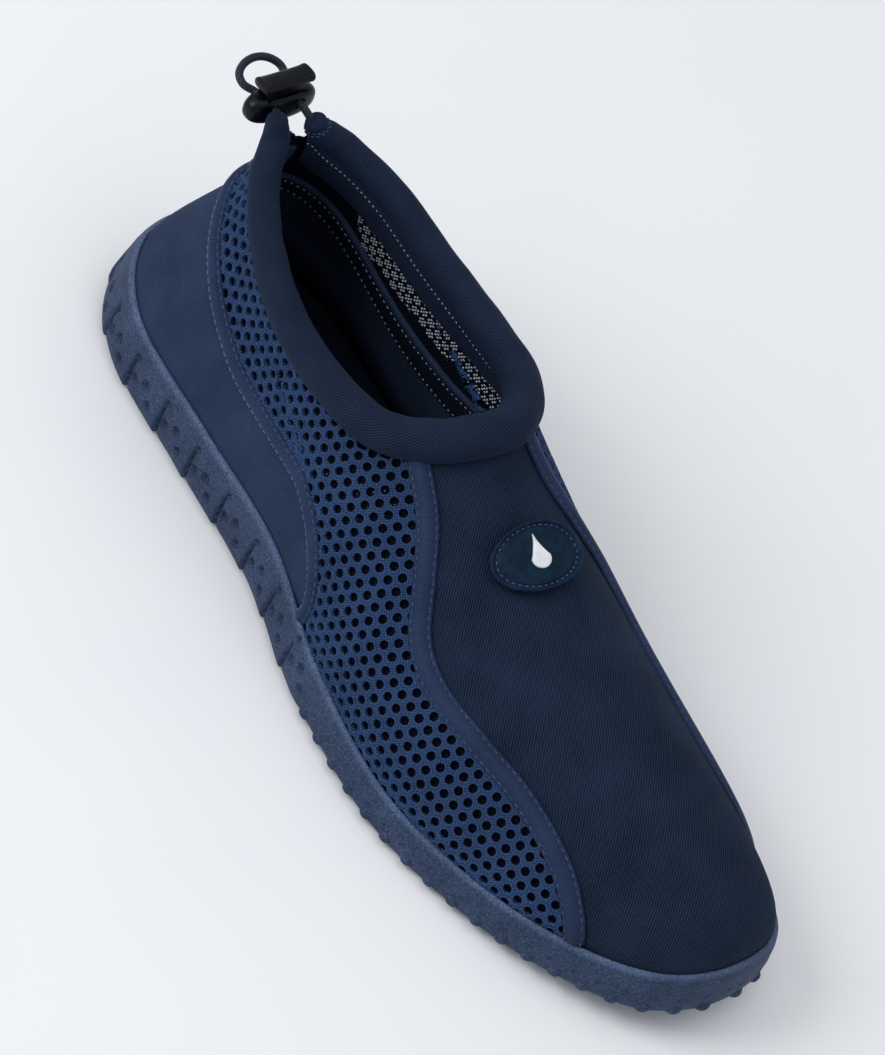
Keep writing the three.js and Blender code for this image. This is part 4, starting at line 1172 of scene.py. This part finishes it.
# painted light: seven white beads standing for specks of light through the net
def speckBeadCluster():
    points, faces = [], []
    for k in range(7):
        turn = math.pi / 3 * k
        x, y = (0, 0) if k == 6 else (loops["apart"] * math.cos(turn), loops["apart"] * math.sin(turn))
        start = len(points)
        for share, height in ((1.0, 0.0), (0.75, 0.28), (0.3, 0.4)):
            radius = loops["speckRadius"] * share
            points += [(x + radius * math.cos(a), y + radius * math.sin(a), height) for a in np.arange(6) * math.pi / 3]
        for ring in (start, start + 6):
            faces += [[ring + j, ring + (j + 1) % 6, ring + 6 + (j + 1) % 6, ring + 6 + j] for j in range(6)]
        faces += [[start + 12 + j for j in range(6)], [start + 5 - j for j in range(6)]]
    mesh = bpy.data.meshes.new("loop_cluster")
    mesh.from_pydata((np.array(points) / 1000).tolist(), [], faces)
    return addObject("loop_cluster", mesh)


# Lays the white painted light specks inside the mesh, under the facing.
def makePaintedLightSpecks(side, cell):
    places = np.linspace(loops["from"], loops["to"], 120)
    if side == "inner":
        places = 1 - places
    top = topHeight(places) + 0.02
    upLength = np.linalg.norm(shellFrame(places, top)[1], axis=1)
    downs = np.linspace(collar["facingWidth"] - 0.8, collar["facingWidth"] - 0.8 + loops["wide"], 7)
    heights = top[:, None] - downs[None] / upLength[:, None]
    patch = np.stack([np.repeat(places[:, None], 7, 1), heights], -1)
    out = -airMesh["deep"] - airMesh["backThick"] - 0.1
    sheet = shellPatch(f"mesh_{side}_strip", patch, "", out=out, flip=side != "inner")
    uv = flatPattern(sheet)
    netOver(sheet, uv, f"mesh_{side}_loops", cell, loops["pitch"], "paintedSpeckWhite")
    bpy.data.objects.remove(sheet)


collar = {
    "rings": 420,
    "sides": 48,
    "ripple": 0.12,  # mm, the soft unevenness of stuffed knit
    "facingWidth": 10.0,
    "facingFrom": 0.03,
    "stitchAt": 0.2,  # share of the facing's width
}
makeAirMesh("outer")
makeAirMesh("inner")
cluster = speckBeadCluster()
makePaintedLightSpecks("outer", cluster)
makePaintedLightSpecks("inner", cluster)
for cell in (netCell, backCell, cluster):
    bpy.data.objects.remove(cell)


# Collar: a knit tube round foam, with a flat facing sewn down inside the mouth.
def makeCollar():
    t = np.linspace(0, 1, collar["rings"])
    centres = catmull(form["collar"], t)
    radii = sideValue(form["collarRadius"], t)
    forward = unit(np.gradient(centres, axis=0))
    caps = np.radians([88, 78, 66, 52, 36, 18])
    lead = [(centres[0] - forward[0] * radii[0] * math.sin(a) * 0.9, radii[0] * math.cos(a) ** 0.85) for a in caps]
    tail = [(centres[-1] + forward[-1] * radii[-1] * math.sin(a) * 0.55, radii[-1] * math.cos(a) ** 0.6) for a in caps[::-1]]
    allCentres = np.array([p for p, _ in lead] + list(centres) + [p for p, _ in tail])
    allRadii = np.array([r for _, r in lead] + list(radii) + [r for _, r in tail])
    grid = tubeGrid(allCentres, allRadii, collar["sides"])
    along = np.linspace(0, 1, len(grid))[:, None]
    around = np.linspace(0, 2 * np.pi, collar["sides"], endpoint=False)[None]
    ripple = np.sin(along * 97 + 2 * np.sin(around)) * np.sin(along * 41 + around)
    ripple = ripple + 0.6 * np.sin(along * 163 + 3 * around)
    fade = np.sin(np.pi * np.clip(along, 0.02, 0.98)) ** 0.5
    outward = unit(grid - allCentres[:, None] + 1e-9)
    grid = grid + outward * (ripple * fade * collar["ripple"])[..., None]
    obj = gridMesh("collar_roll", grid, tubeUv(allCentres, allRadii, collar["sides"]), wrapColumns=True, fill="se")
    finishPiece(obj, "shoe", "collar_knit", materials["collarKnit"], "collar_cover")


def makeFacing():
    places = np.linspace(collar["facingFrom"], 1 - collar["facingFrom"], 320)
    top = topHeight(places) + 0.05
    upLength = np.linalg.norm(shellFrame(places, top)[1], axis=1)
    middle = np.stack([places, top - collar["facingWidth"] / 2 / upLength], 1)
    ribbonPiece(
        "collar_facing_band", middle, collar["facingWidth"], inside - 0.5, -1, "collarKnit", "collar_knit",
        ["collar_facing"], face=[(-0.96, 0.6), (-0.8, 0.95), (0, 1.1), (0.8, 0.95), (0.96, 0.6)],
    )
    height = top - collar["facingWidth"] * collar["stitchAt"] / upLength
    normal = -shellFrame(places, height)[2]
    row = shellPoint(places, height) + normal * (-inside + 1.5), normal
    stitchRows("facing_stitches", [row], "threadLight", "collar_knit", 1.7, 0.8, 0.4, 0.4)


# Rings of close stitches that shut the roll's two ends round the cord.
def makeEndStitches():
    rows = []
    for t in (0.966, 0.982):
        centre = catmull(form["collar"], t)
        ahead = unit(catmull(form["collar"], t + 0.004) - catmull(form["collar"], t - 0.004))
        side = unit(np.cross(ahead, (0, 1, 0)))
        other = np.cross(ahead, side)
        turn = np.linspace(0, 2 * np.pi, 41)[:, None]
        normal = side * np.cos(turn) + other * np.sin(turn)
        rows.append((centre + normal * (float(sideValue(form["collarRadius"], t)) + 0.1), normal))
    stitchRows("collar_end_stitches", rows, "threadNavy", "collar_knit", 1.5, 1.2, 0.45, 0.4)


makeCollar()
makeFacing()
makeEndStitches()
print("collar made")

# tread: lugs under the flat of the sole
tread = {
    "pitch": 7.4,
    "columns": 42,
    "rows": 16,
    "width": 5.2,
    "inset": 4.5,  # of the outermost lugs from the rim's line
}


def makeTread():
    places = np.arange(360) / 360
    ring = rimRing(places, -tread["inset"], lambda r: groundLift(r[:, 0]) + sole["treadDeep"])
    ring2 = rimRing(places, -tread["inset"] - 3, lambda r: groundLift(r[:, 0]) + sole["treadDeep"])
    plate = gridMesh("sole_lugs", np.array([ring, ring2]), wrapColumns=True, fill="e")
    rings = [(0.5, 0.4), (0.5, 0.3 - sole["treadDeep"]), (0.43, 0.1 - sole["treadDeep"]), (0.28, -sole["treadDeep"])]
    turns = np.linspace(0, 2 * math.pi, 6, endpoint=False)
    points = [
        (r * tread["width"] * math.cos(a), r * tread["width"] * math.sin(a), -z) for r, z in rings for a in turns
    ]
    faces = [[i + k, i + (k + 1) % 6, i + 6 + (k + 1) % 6, i + 6 + k] for i in (0, 6, 12) for k in range(6)]
    faces += [[18 + k for k in range(6)], [5 - k for k in range(6)]]
    mesh = bpy.data.meshes.new("sole_lug")
    mesh.from_pydata((np.array(points) / 1000).tolist(), [], faces)
    lug = addObject("sole_lug", mesh)
    runTree(
        plate, trees["lugs"], Lug=lug, Pitch=tread["pitch"] / 1000, Columns=tread["columns"], Rows=tread["rows"],
        Material=materials["sole"],
    )
    bpy.data.objects.remove(lug)
    print("tread made,", len(plate.data.polygons), "faces")
    finishPiece(plate, "shoe", "sole_rubber", materials["sole"])


makeTread()

# badge: a moulded oval with a raised rim, a ring of stitches in its groove, and a water drop
badge = {
    "place": (0.5, 0.78),
    "across": 28.0,
    "upward": 20.0,
    "lift": 1.4,
    "thick": 1.6,
    "spokes": 120,
    # share of the way out, and height above the badge's face in mm
    "profile": [
        (0.985, -1.6), (1.0, -1.4), (1.0, 0.35), (0.985, 0.7), (0.96, 0.8), (0.935, 0.7), (0.925, 0.3),
        (0.915, -0.1), (0.9, -0.15), (0.84, -0.15), (0.82, -0.1), (0.81, 0.12), (0.79, 0.18), (0.5, 0.2), (0.12, 0.2),
    ],
    "drop": 2.9,  # half the width of the drop
}


# Places round a spot on the shell, from distances in mm across it and up it.
def aroundSpot(spot, x, y):
    along, up, normal = shellFrame(*map(np.float64, spot))
    across = unit(along)
    upward = np.cross(normal, across)
    base = shellPoint(*spot)
    place, height = np.full_like(x, spot[0]), np.full_like(x, spot[1])
    for _ in range(8):
        off = shellPoint(place, height) - base
        dx, dy = x - off @ across, y - off @ upward
        a, u, _ = shellFrame(place, height)
        det = (a @ across) * (u @ upward) - (u @ across) * (a @ upward)
        place = place + (dx * (u @ upward) - dy * (u @ across)) / det
        height = height + (dy * (a @ across) - dx * (a @ upward)) / det
    return place, height


def makeBadge():
    turn = np.linspace(0, 2 * np.pi, badge["spokes"], endpoint=False)
    face = badge["lift"] + badge["thick"]

    def ring(share, rise):
        x, y = share * badge["across"] / 2 * np.cos(turn), share * badge["upward"] / 2 * np.sin(turn)
        place, height = aroundSpot(badge["place"], x, y)
        return place, height, np.full(len(turn), face + rise)

    rings = [ring(0.5, -1.6)] + [ring(*step) for step in badge["profile"]]
    grid = np.array([shellOffset(*r) for r in rings])
    body = gridMesh("badge_oval", grid, wrapColumns=True, fill="se")
    finishPiece(body, "shoe", "badge_rubber", materials["badgeBody"], "badge_base")
    body.data.materials.append(materials["badgeField"])
    fieldFrom = (len(rings) - 4) * badge["spokes"]
    for polygon in body.data.polygons:
        if min(polygon.vertices) >= fieldFrom:
            polygon.material_index = 1
    place, height, out = ring(0.87, -0.02)
    normal = shellFrame(place, height)[2]
    loop = np.append(np.arange(len(turn)), 0)
    points = shellOffset(place, height, out)
    stitchRows("badge_stitches", [(points[loop], normal[loop])], "threadBlue", "badge_rubber", 1.9, 0.9, 0.35, 0.3)


def makeDrop():
    half = badge["drop"]
    right = [(half * math.cos(a), half * math.sin(a) - 1) for a in np.linspace(-math.pi / 2, 0.15, 16)]
    wide, low = right[-1]
    right += [(wide * (1 - t) ** 1.35, low + (6.4 - low) * t**1.1) for t in np.linspace(0, 1, 20)[1:]]
    outline = np.array(right + [(-x, y) for x, y in right[-2:0:-1]])
    face = badge["lift"] + badge["thick"] + 0.18
    rings = []
    for share, rise in ((0.97, -0.1), (1.0, 0.0), (1.0, 0.45), (0.94, 0.68), (0.85, 0.75)):
        x, y = outline[:, 0] * share, (outline[:, 1] + 1) * share - 1
        place, height = aroundSpot(badge["place"], x, y)
        rings.append(shellOffset(place, height, np.full(len(x), face + rise)))
    grid = np.array(rings)
    drop = gridMesh("badge_water_drop", grid, wrapColumns=True, fill="se")
    finishPiece(drop, "shoe", "badge_mark", materials["badgeMark"], "badge_drop")


makeBadge()
makeDrop()
print("badge made")

# cord lock: a barrel with two cord holes and a sprung plunger, in its own frame before it is put in place
lock = {
    "place": (9.8, -0.5, 86.4),
    "lean": -12.6,
    "long": 24.0,
    "high": 10.6,
    "deep": 8.0,
    "top": 4.2,
    "holeApart": 9.0,
    "holeUp": 0.8,
    "holeRadius": 1.7,
}


def lockFrame():
    turn = Matrix.Rotation(math.radians(lock["lean"]), 4, "Y")
    return Matrix.Translation(Vector(toRow(lock["place"]))) @ turn


def roundBox(name, low, high, bevel, segments=4):
    low, high = np.array(low) / 1000, np.array(high) / 1000
    shape = bmesh.new()
    bmesh.ops.create_cube(shape, size=1)
    for v in shape.verts:
        v.co = Vector(low + (np.array(v.co) + 0.5) * (high - low))
    if bevel:
        bmesh.ops.bevel(shape, geom=shape.edges[:], offset=bevel / 1000, segments=segments, affect="EDGES", profile=0.5)
    mesh = bpy.data.meshes.new(name)
    shape.to_mesh(mesh)
    shape.free()
    return addObject(name, mesh)


def rod(name, radius, length, place, sides=40):
    shape = bmesh.new()
    turn = Matrix.Translation(Vector(place) / 1000) @ Matrix.Rotation(math.pi / 2, 4, "Y")
    bmesh.ops.create_cone(
        shape, cap_ends=True, segments=sides, radius1=radius / 1000, radius2=radius / 1000, depth=length / 1000, matrix=turn,
    )
    mesh = bpy.data.meshes.new(name)
    shape.to_mesh(mesh)
    shape.free()
    return addObject(name, mesh)


def combine(obj, operation, *others):
    for other in others:
        join = obj.modifiers.new("join", "BOOLEAN")
        join.operation = operation
        join.object = other
        join.solver = "EXACT"
        applied(obj)
        bpy.data.objects.remove(other)
    return obj


def softEdges(obj, width):
    bevel = obj.modifiers.new("soft_edges", "BEVEL")
    bevel.width = width / 1000
    bevel.segments = 3
    bevel.limit_method = "ANGLE"
    bevel.angle_limit = math.radians(38)
    applied(obj)
    obj.data.transform(lockFrame())
    obj.data.polygons.foreach_set("use_smooth", [True] * len(obj.data.polygons))
    obj.data.set_sharp_from_angle(angle=math.radians(40))
    return obj


def power(value, exponent):
    return np.sign(value) * np.abs(value) ** exponent


def makeBarrel():
    turn, tilt = np.meshgrid(np.linspace(0, 2 * np.pi, 96, endpoint=False), np.radians(np.linspace(-86, 86, 47)))
    ring = power(np.cos(tilt), 0.62)
    y = lock["long"] / 2 * power(np.cos(turn), 0.78) * ring
    z = lock["high"] / 2 * power(np.sin(turn), 0.78) * ring
    x = lock["deep"] / 2 * power(np.sin(tilt), 0.75)
    grid = np.stack([x, y, z], -1) + form["origin"]
    barrel = gridMesh("lock_barrel_shell", grid, wrapColumns=True, fill="se")
    combine(barrel, "DIFFERENCE", roundBox("cut", (-9, -15, lock["top"]), (9, 15, 12), 0))
    combine(barrel, "DIFFERENCE", roundBox("cut", (-2.9, -7, -3.95), (2.9, 7, 12), 0))
    for side in (-1, 1):
        place = (0, side * lock["holeApart"] / 2, lock["holeUp"])
        combine(barrel, "DIFFERENCE", rod("cut", lock["holeRadius"], 14, place))
    softEdges(barrel, 0.3)
    finishPiece(barrel, "cord_lock", "lock_plastic", materials["lock"], "cord_lock_barrel")


# The cap: a saddle with a rounded back and lips that turn up at its two ends.
def makeCap():
    turn = np.linspace(0, 2 * np.pi, 40, endpoint=False)
    rings = []
    for y in np.concatenate([[-8.9, -8.8], np.linspace(-8.5, 8.5, 41), [8.8, 8.9]]):
        end = max(0, (abs(y) - 8.3) / 0.6)
        size = math.sqrt(max(0.12, 1 - end**2))
        flare = 0.9 * (abs(y) / 8.9) ** 6
        middle = 7.95 + 0.25 * (abs(y) / 8.9) ** 4
        x = (3.1 + 0.3 * flare) * size * power(np.cos(turn), 0.7)
        belly = np.where(np.sin(turn) > 0, 1, 1 - 0.15 * (y / 8.9) ** 2)
        z = middle + (1.6 + 0.3 * flare) * size * power(np.sin(turn), 0.75) * belly
        rings.append(np.stack([x, np.full(len(x), y), z], -1))
    return gridMesh("lock_plunger_cap", np.array(rings) + form["origin"], wrapColumns=True, fill="se", flip=True)


def makePlunger():
    plunger = makeCap()
    combine(plunger, "UNION", roundBox("stem", (-2.6, -6.7, -1.6), (2.6, 6.7, 7.3), 0.3, 2))
    for side in (-1, 1):
        y = side * lock["holeApart"] / 2
        combine(plunger, "DIFFERENCE", roundBox("cut", (-6, y - 1.4, -0.55), (6, y + 1.4, 4.0), 1.0, 4))
    combine(plunger, "DIFFERENCE", roundBox("cut", (-2.1, -2.1, -4.4), (2.1, 2.1, 3.9), 0.6, 2))
    softEdges(plunger, 0.2)
    finishPiece(plunger, "plunger", "lock_plastic", materials["lock"], "cord_lock_plunger")


makeBarrel()
makePlunger()
dressNode("cord_lock_spring", "spring")
dressNode("collar_foam", "foamSock")
print("cord lock made")


# floor and light
def areaLight(name, place, size, power, target=(0, 0, 0.03)):
    data = bpy.data.lights.new(name, "AREA")
    data.shape = "SQUARE"
    data.size = size
    data.energy = power
    lamp = bpy.data.objects.new(name, data)
    lamp.location = place
    lamp.rotation_euler = (Vector(target) - Vector(place)).to_track_quat("-Z", "Y").to_euler()
    scene.collection.objects.link(lamp)


studio = {
    "floor": "#f9fcff",
    "world": "#f4f6fb",
    "worldStrength": 0.55,
    # name, place in metres, side in metres, power in watts
    "lights": [("key_light", (-0.75, -1.1, 1.1), 0.9, 12.5), ("top_light", (0.2, 0.1, 1.6), 1.4, 4.5)],
}


def makeStudio():
    mesh = bpy.data.meshes.new("floor")
    mesh.from_pydata([(-4, -4, 0), (4, -4, 0), (4, 4, 0), (-4, 4, 0)], [], [[0, 1, 2, 3]])
    floor = addObject("floor", mesh)
    material, tree, surface = startMaterial("studio_floor_matt_white", 0.9)
    grain = noise(tree, objectPlace(tree), 60, 1)
    tree.links.new(colours(tree, grain, (0, studio["floor"]), (1, "#fdfeff")), surface.inputs["Base Color"])
    surface.inputs["Specular IOR Level"].default_value = 0.1
    mesh.materials.append(material)
    world = bpy.data.worlds.new("studio")
    world.use_nodes = True
    background = world.node_tree.nodes["Background"]
    background.inputs["Color"].default_value = linear(studio["world"])
    background.inputs["Strength"].default_value = studio["worldStrength"]
    scene.world = world
    for light in studio["lights"]:
        areaLight(*light)


makeStudio()
print("floor and lights made")
